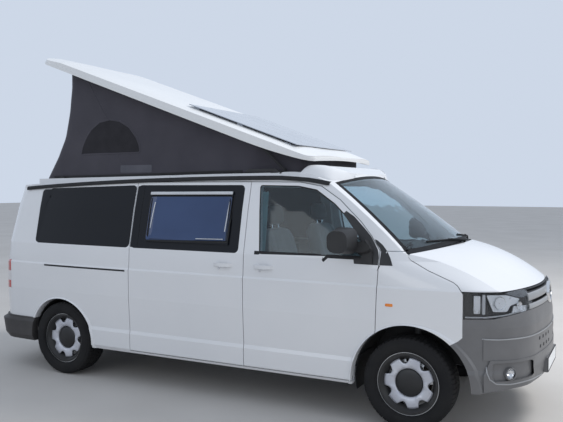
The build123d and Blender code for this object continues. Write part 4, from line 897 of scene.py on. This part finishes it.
for side, hand in SIDES:
    y = side * 0.47
    pads = [
        pad("seat_cushion_" + hand, (0.80, y, 0.862), (0.238, 0.248, 0.060), "seat_cloth", bolster=0.35,
            grooves=((1, 0.58, 0.10), (1, -0.58, 0.10), (0, -0.05, 0.05))),
        pad("seat_back_" + hand, (0.478, y, 1.186), (0.056, 0.240, 0.250), "seat_cloth", lean=-0.235,
            crown=0.12, bolster=0.45, thick_axis=0,
            grooves=((1, 0.58, 0.16), (1, -0.58, 0.16), (2, 0.55, 0.08))),
        pad("headrest_" + hand, (0.414, y, 1.552), (0.040, 0.125, 0.083), "piping", lean=-0.1, crown=0.2,
            thick_axis=0, power=3.6, cells=18),
    ]
    for piece in pads:
        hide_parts("front_seats")
    for letter, offset in (("a", -0.055), ("b", 0.055)):
        tube(f"headrest_bar_{hand}_{letter}", [(0.424, y + offset, 1.415), (0.418, y + offset, 1.500)],
             (0.0065, 0.0065), "chrome")
bench_pads = [
    pad("bench_cushion", (-0.785, -0.180, 0.906), (0.225, 0.470, 0.068), "seat_cloth",
        grooves=((1, 0.0, 0.12), (1, 0.62, 0.08), (1, -0.62, 0.08))),
    pad("bench_back", (-1.135, -0.180, 1.195), (0.065, 0.470, 0.240), "seat_cloth", lean=-0.22, thick_axis=0,
        grooves=((1, 0.0, 0.16), (2, 0.5, 0.08))),
]
bench_box = rounded([(-1.235, 0.5755), (-1.235, 0.985), (-1.180, 1.000), (-1.060, 0.860), (-0.645, 0.842),
                     (-0.645, 0.5755)], 0.012)
bench_pads.append(prism("bench_box", [[(x, y, z) for x, z in bench_box] for y in (-0.655, 0.295)],
                        "cabin_plastic", 0.004))
for piece in bench_pads:
    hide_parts("rear_bench")

# Cab: steering wheel
HUB = Vector((1.240, 0.470, 1.130))
COLUMN_TILT = math.radians(35)
WHEEL_AXIS = Vector((-math.cos(COLUMN_TILT), 0, math.sin(COLUMN_TILT)))
RIM = [(0.176 + 0.0135 * math.cos(math.tau * step / 12), -0.014 + 0.0115 * math.sin(math.tau * step / 12))
       for step in range(12)]
wheel_rim = lathe("steering_rim", RIM, HUB, WHEEL_AXIS, "rubber", "steering_wheel", steps=72, smooth=80)
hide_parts("steering_wheel")
HUB_PROFILE = ((0, -0.001), (0.035, -0.002), (0.054, -0.008), (0.060, -0.020), (0.060, -0.034),
               (0.018, -0.036), (0.018, -0.134), (0, -0.134))
lathe("steering_hub", HUB_PROFILE, HUB, WHEEL_AXIS, "cabin_plastic", "steering_wheel", steps=48)
spoke_up = WHEEL_AXIS.orthogonal().normalized()
if abs(spoke_up.y) > 0.5:
    spoke_up = spoke_up.cross(WHEEL_AXIS).normalized()
spoke_side = WHEEL_AXIS.cross(spoke_up)
for index, degrees in enumerate((90, 210, 330)):
    turn = math.radians(degrees)
    outward = spoke_up * math.cos(turn) + spoke_side * math.sin(turn)
    places = [(HUB + outward * (0.045 + 0.125 * step / 6) - WHEEL_AXIS * 0.024, WHEEL_AXIS)
              for step in range(7)]
    strip(f"steering_spoke_{index}", places, "cabin_plastic", 0.034, 0.014, "steering_wheel")

# Side details: lock cylinders, repeaters, and black corners between mirror, door and wing
LOCK = ((0, 0.004), (0.008, 0.004), (0.010, 0.002), (0.010, -0.003), (0, -0.003))
for side, hand in SIDES:
    door = side_view(side, tree_of("front_door_" + hand, "door_glass_" + hand))
    skin = side_view(side)
    sail = [(1.205, 1.588), (1.228, 1.610), (1.298, 1.566), (1.388, 1.481), (1.428, 1.440), (1.447, 1.421),
            (1.461, 1.402), (1.476, 1.380), (1.499, 1.344), (1.510, 1.327), (1.519, 1.303), (1.5265, 1.270),
            (1.5265, 1.213), (1.340, 1.216), (1.334, 1.256), (1.400, 1.262), (1.395, 1.350), (1.335, 1.440)]
    plate("mirror_sail_" + hand, sail, door, "cap_black", "door_" + hand, thick=0.0035, step=0.03)
    sill = line_on(door, [(0.472, 1.262), (1.395, 1.262)])
    strip("door_sill_seal_" + hand, sill, "rubber", 0.030, 0.003, "door_" + hand)
    place, normal = door(0.528, 1.118)
    lathe("door_lock_" + hand, LOCK, place, normal, "chrome", "door_" + hand, steps=24)
    wing_sail = [(1.478, 1.400), (1.500, 1.392), (1.540, 1.362), (1.580, 1.318), (1.612, 1.266),
                 (1.636, 1.213), (1.5375, 1.213), (1.5375, 1.312), (1.524, 1.336), (1.508, 1.354),
                 (1.490, 1.376)]
    plate("wing_sail_" + hand, wing_sail, skin, "cap_black", thick=0.0035, step=0.03)
    plate("repeater_" + hand, box_outline(1.592, 1.650, 0.915, 0.937, 0.009), skin, "amber_lens", thick=0.004)
right_side = side_view(-1)
place, normal = right_side(0.139, 1.118)
lathe("sliding_door_lock", LOCK, place, normal, "chrome", steps=24)
strip("sliding_rail", line_on(right_side, [(-1.860, 1.043), (-0.860, 1.041)]), "rubber", 0.016, 0.0012,
      lift=-0.0004)
strip("sliding_rail_lip", line_on(right_side, [(-1.862, 1.053), (-0.858, 1.051)]), "white_paint", 0.006,
      0.004)

# The camper window's blind, seal, stays and pane; the pane's blue is a painted reflection of the sky
camper = side_view(-1, tree_of("sliding_door_window"))
strip("camper_window_blind", line_on(camper, [(-0.645, 1.739), (0.211, 1.745)]), "light_bar", 0.026, 0.006)
SEAL = [(-0.655, 1.318), (0.212, 1.334), (0.222, 1.724), (-0.640, 1.718)]
strip("camper_window_rubber", line_on(camper, SEAL + SEAL[:1], 0.05)[:-1], "rubber", 0.010, 0.0035,
      closed=True)
for name, points, width, height in (
        ("stay_rear", [(-0.590, 1.660), (-0.614, 1.430)], 0.010, 0.0025),
        ("stay_front", [(0.187, 1.668), (0.168, 1.420)], 0.010, 0.0025),
        ("low_stay", [(-0.600, 1.345), (0.160, 1.357)], 0.006, 0.002)):
    strip("camper_window_" + name, line_on(camper, points), "light_bar", width, height, lift=0.004)
camper_pane = rounded([(-0.640, 1.330), (0.201, 1.346), (0.211, 1.714), (-0.632, 1.708)], 0.02)
plate("camper_glass_pane", camper_pane, camper, "painted_sky_glass", lift=-0.0005, thick=0.002)

# Bonded panes that cover the pillars beside the windows, and the rail's rubber
REAR_PANE = [(-2.000, 1.2600), (-0.8290, 1.2620), (-0.8240, 1.806), (-0.950, 1.807), (-2.006, 1.770)]
for side, hand in SIDES:
    pane = REAR_PANE[::-side]
    plate("rear_pane_" + hand, rounded(pane, 0.035), side_view(side), "dark_glass", thick=0.0040, step=0.03)
sliding_pane = rounded([(-0.811, 1.257), (-0.735, 1.256), (-0.735, 1.806), (-0.8095, 1.802)], 0.012)
plate("sliding_pane", sliding_pane, right_side, "dark_glass", thick=0.0035, step=0.05)
# The rail's long arc, and its drop at the front
rail_line = [(x, 1.871 - (x - 0.5) ** 2 / 84.8) for x in (-2.236 + 2.876 * step / 40 for step in range(41))]
rail_line += [(0.780, 1.862), (0.880, 1.854), (0.960, 1.841), (1.052, 1.8245)]
for side, hand in SIDES:
    rail = side_view(side, tree_of("roof_rails"))
    strip("rail_rubber_" + hand, [rail(x, z) for x, z in rail_line], "rubber", 0.036, 0.007)

# Dark rubber arcs behind the wheels, painted shade in the arches: name, x of the arc's centre, its radius,
# its two ends and its inner edge
ARCH_SHADES = (("rear", -1.655, 0.384, 160, 210, 0.700), ("front", 1.752, 0.424, 155, 193, 0.600))
# Height of the arcs' centres, and how far out the dark arcs reach
ARCH_Z = 0.340
ARCH_Y = 0.868
for place_name, middle, outer, first_turn, last_turn, inner in ARCH_SHADES:
    turns = [math.radians(first_turn + (last_turn - first_turn) * step / 12) for step in range(13)]
    count = len(turns)
    faces = [[first + index, first + index + 1, second + index + 1, second + index]
             for index in range(count - 1)
             for first, second in ((0, count), (count, 3 * count), (3 * count, 2 * count), (2 * count, 0))]
    faces += [[0, count, 3 * count, 2 * count], [count - 1, 2 * count - 1, 4 * count - 1, 3 * count - 1]]
    for side, hand in SIDES:
        vertices = [(middle + reach * math.cos(turn), side * y, ARCH_Z + reach * math.sin(turn))
                    for reach in (outer, outer - 0.004) for y in (inner, ARCH_Y) for turn in turns]
        add_piece(f"wheel_arch_shade_{place_name}_{hand}", vertices, faces, "rubber", smooth=60)


def evenly(corners, gap=0.04):
    """Points about a gap apart along a line of corners."""
    points = []
    for start, end in zip(corners, corners[1:]):
        cuts = max(1, round((end - start).length / gap))
        points.extend(start.lerp(end, cut / cuts) for cut in range(cuts))
    return points


# Rubber seals round the side windows. Edges shorter than this get none
SHORTEST_SEAL = 0.8


def window_rubber(name, node, side, body, width=0.012):
    """A thin seal along the outer edge of a glass node seen from its side."""
    skin = side_view(side, tree_of(node))
    parts = bmesh.new()
    parts.from_mesh(nodes[node].data)
    drop = [face for face in parts.faces
            if face.normal.y * side < 0.6 or face.calc_center_median().y * side < 0]
    bmesh.ops.delete(parts, geom=drop, context="FACES")
    bmesh.ops.remove_doubles(parts, verts=parts.verts[:], dist=0.0001)
    seen = set()
    loops = []
    for edge in parts.edges:
        if len(edge.link_faces) != 1 or edge in seen:
            continue
        loop = []
        vertex = edge.verts[0]
        while edge and edge not in seen:
            seen.add(edge)
            loop.append(vertex.co.copy())
            vertex = edge.other_vert(vertex)
            free = (other for other in vertex.link_edges if len(other.link_faces) == 1 and other not in seen)
            edge = next(free, None)
        loops.append(loop)
    parts.free()
    for index, loop in enumerate(loop for loop in loops if len(loop) > 3):
        if sum((loop[step] - loop[step - 1]).length for step in range(len(loop))) < SHORTEST_SEAL:
            continue
        middle = sum(loop, Vector()) / len(loop)
        places = []
        for point in evenly([loop[-1], *loop]):
            inward = (middle - point).normalized() * width * 0.35
            places.append(skin(point.x + inward.x, point.z + inward.z))
        strip(f"{name}_{index}", places, "rubber", width, 0.0025, body, closed=True)


for side, hand in SIDES:
    window_rubber("door_rubber_" + hand, "door_glass_" + hand, side, "door_" + hand)


# Curtain behind the door pillar
def curtain(name, side):
    """A gathered curtain that hangs from a rail behind the pillar."""
    columns, rows_down = 44, 16
    vertices = []
    for column in range(columns + 1):
        share = column / columns
        for row in range(rows_down + 1):
            down = row / rows_down
            spread = 0.9 + 0.25 * down
            x = 0.522 - 0.070 * share * spread
            wave = 0.011 * math.sin(math.tau * 5 * share) * (0.6 + 0.5 * down)
            wave += 0.003 * math.sin(13 * share + 6 * down)
            y = side * (0.768 + 0.075 * down + wave)
            z = 1.755 - 0.500 * down + 0.004 * math.sin(11 * share)
            vertices.append((x, y, z))
    faces = turned(quads(columns + 1, rows_down + 1, loop=False))
    cloth = add_piece(name, vertices, faces, "curtain_cloth", smooth=80, fix=False)
    cloth_weave = cloth.modifiers.new("weave", "SOLIDIFY")
    cloth_weave.thickness = 0.001


curtain("curtain_right", -1)

# Tail lamps: a clear band across the red
BAND_LOW = 0.862
BAND_HIGH = 0.958
for side, hand in SIDES:
    band = outer_faces("tail_lamps", side, (-0.7, side * 0.7, 0))
    for level, upward in ((BAND_LOW, -1), (BAND_HIGH, 1)):
        geometry = band.verts[:] + band.edges[:] + band.faces[:]
        bmesh.ops.bisect_plane(band, geom=geometry, plane_co=(0, 0, level), plane_no=(0, 0, upward),
                               clear_outer=True)
    band.normal_update()
    band.verts.index_update()
    vertices, faces = slab_of(band, -0.001, 0.0022)
    band.free()
    add_piece("tail_lamp_clear_" + hand, vertices, faces, "white_lens")

# Windscreen wipers
SCREEN = tree_of("windscreen")
for index, (foot_x, foot_y, tip_y) in enumerate(((1.850, 0.600, 0.030), (1.962, -0.020, -0.560))):
    blade = []
    for step in range(13):
        y = tip_y + 0.54 * step / 12
        z = 1.356 - 0.078 * y ** 2 + 0.038 * (1 - step / 12)
        blade.append(surface(SCREEN, (3.5, y, z), (-1, 0, 0)))
    foot = top_view(foot_x, foot_y)[0]
    middle, normal = blade[6]
    middle = middle + normal * 0.015
    arm = [foot, foot + Vector((0, 0, 0.022)), foot.lerp(middle, 0.5) + normal * 0.016, middle]
    tube(f"wiper_arm_{index}", arm, (0.011, 0.010, 0.0065, 0.005), "rubber")
    strip(f"wiper_blade_{index}", blade, "rubber", 0.012, 0.011, lift=0.0005)

# Dark border of the windscreen
border = bmesh.new()
border.from_mesh(nodes["windscreen"].data)
FORWARD = Vector((0.6, 0, 0.8))
drop = [face for face in border.faces if face.normal.dot(FORWARD) < 0.75]
bmesh.ops.delete(border, geom=drop, context="FACES")
bmesh.ops.remove_doubles(border, verts=border.verts[:], dist=0.0001)
rim = {vertex.index: vertex for edge in border.edges if len(edge.link_faces) == 1 for vertex in edge.verts}
vertex = min(rim.values(), key=lambda item: (round(item.co.y, 3), item.co.z))
line = []
passed = set()
while vertex is not None:
    line.append(vertex.co.copy())
    edge = next((edge for edge in vertex.link_edges if len(edge.link_faces) == 1 and edge not in passed),
                None)
    if edge is None:
        break
    passed.add(edge)
    vertex = edge.other_vert(vertex)
border.free()
middle = sum(line, Vector()) / len(line)
BORDER = 0.042
places = []
for point in evenly(line):
    inward = middle - point
    inward.x *= 0.5
    target = point + inward.normalized() * BORDER * 0.5
    nearest = SCREEN.find_nearest(target)[0]
    places.append(surface(SCREEN, nearest + FORWARD * 0.2, -FORWARD))
strip("windscreen_border", places, "rubber", BORDER, 0.0016, lift=-0.0004, closed=True,
      section=((-0.5, 0), (-0.5, 1), (0.5, 1), (0.5, 0)))

# Rounded sides of the roof's raised front. Each row: the inner edge with its height, or with its rise over
# the roof where that is below 1, and the outer edge
FAIRING = ((0.770, 0.713, 0.003, 0.770, 0.722), (0.786, 0.696, 1.925, 0.786, 0.722),
           (0.804, 0.678, 1.951, 0.804, 0.722), (0.822, 0.658, 1.969, 0.826, 0.722),
           (0.840, 0.642, 1.976, 0.855, 0.722), (0.898, 0.638, 1.977, 0.920, 0.722),
           (0.963, 0.620, 1.972, 0.985, 0.716), (1.010, 0.594, 1.962, 1.030, 0.700),
           (1.035, 0.574, 1.952, 1.052, 0.672), (1.060, 0.546, 1.941, 1.070, 0.636),
           (1.085, 0.508, 1.929, 1.092, 0.590), (1.102, 0.470, 1.921, 1.106, 0.545),
           (1.116, 0.425, 1.914, 1.118, 0.480), (1.122, 0.380, 1.911, 1.128, 0.410))
ACROSS = 8
for side, hand in SIDES:
    vertices = []
    for x_in, y_in, rise, x_out, y_out in FAIRING:
        low = top_view(x_out, side * y_out)[0].z
        foot = top_view(x_in, side * y_in)[0].z
        high = rise if rise > 1 else foot + rise
        vertices.append(Vector((x_in, side * y_in, min(foot, high) - 0.006)))
        for step in range(ACROSS + 1):
            share = step / ACROSS
            vertices.append(Vector((x_in + (x_out - x_in) * share, side * (y_in + (y_out - y_in) * share),
                                    high + (low - 0.001 - high) * share ** 1.8)))
        vertices.append(Vector((x_out, side * y_out, low - 0.006)))
    faces = capped(len(FAIRING), ACROSS + 3)
    add_piece("roof_fairing_" + hand, vertices, faces, "white_paint", smooth=50)

# Dark sheet under the raised shell's front: painted shade on its underside
SHELL = tree_of("pop_roof")


def under_shell(x, y):
    return surface(SHELL, (x, y, 1.99), (0, 0, 1))


plate("shell_painted_shade", box_outline(0.45, 0.86, -0.56, 0.56, 0.05), under_shell, "rubber", "pop_roof",
      lift=-0.0005, thick=0.002, step=0.06, bevel=0)

# Solar panel: frame and cell lines
PANEL = tree_of("solar_panel")
PANEL_HALF = 0.612
panel_x = [vertex.co.x for vertex in nodes["solar_panel"].data.vertices]
x_low, x_high = min(panel_x) + 0.010, max(panel_x) - 0.012
for index in range(9):
    x = x_low + (x_high - x_low) * index / 8
    places = [top_view(x, -PANEL_HALF + 2 * PANEL_HALF * step / 8, PANEL) for step in range(9)]
    width = 0.012 if index in (0, 8) else 0.0035
    strip(f"cell_line_x_{index}", places, "cell_line", width, 0.0009, "pop_roof", lift=-0.0003)
for index in range(5):
    y = -PANEL_HALF + 2 * PANEL_HALF * index / 4
    places = [top_view(x_low + (x_high - x_low) * step / 10, y, PANEL) for step in range(11)]
    width = 0.012 if index in (0, 4) else 0.0035
    strip(f"cell_line_y_{index}", places, "cell_line", width, 0.0010, "pop_roof", lift=-0.0003)

# Tailgate: wiper and high stop lamp
foot, normal = rear_view(0.0, 1.235)
arm = [foot + normal * 0.008, rear_view(0.12, 1.262)[0] + normal * 0.020,
       rear_view(0.24, 1.285)[0] + normal * 0.013]
tube("rear_wiper_arm", arm, (0.012, 0.007, 0.005), "rubber", "tailgate")
blade = [rear_view(0.05 + 0.40 * step / 10, 1.278 + 0.014 * step / 10) for step in range(11)]
strip("rear_wiper_blade", blade, "rubber", 0.012, 0.010, "tailgate", lift=0.0005)
plate("stop_lamp", box_outline(-0.14, 0.14, 1.752, 1.772, 0.008), rear_view, "tail_lens", "tailgate",
      thick=0.004)
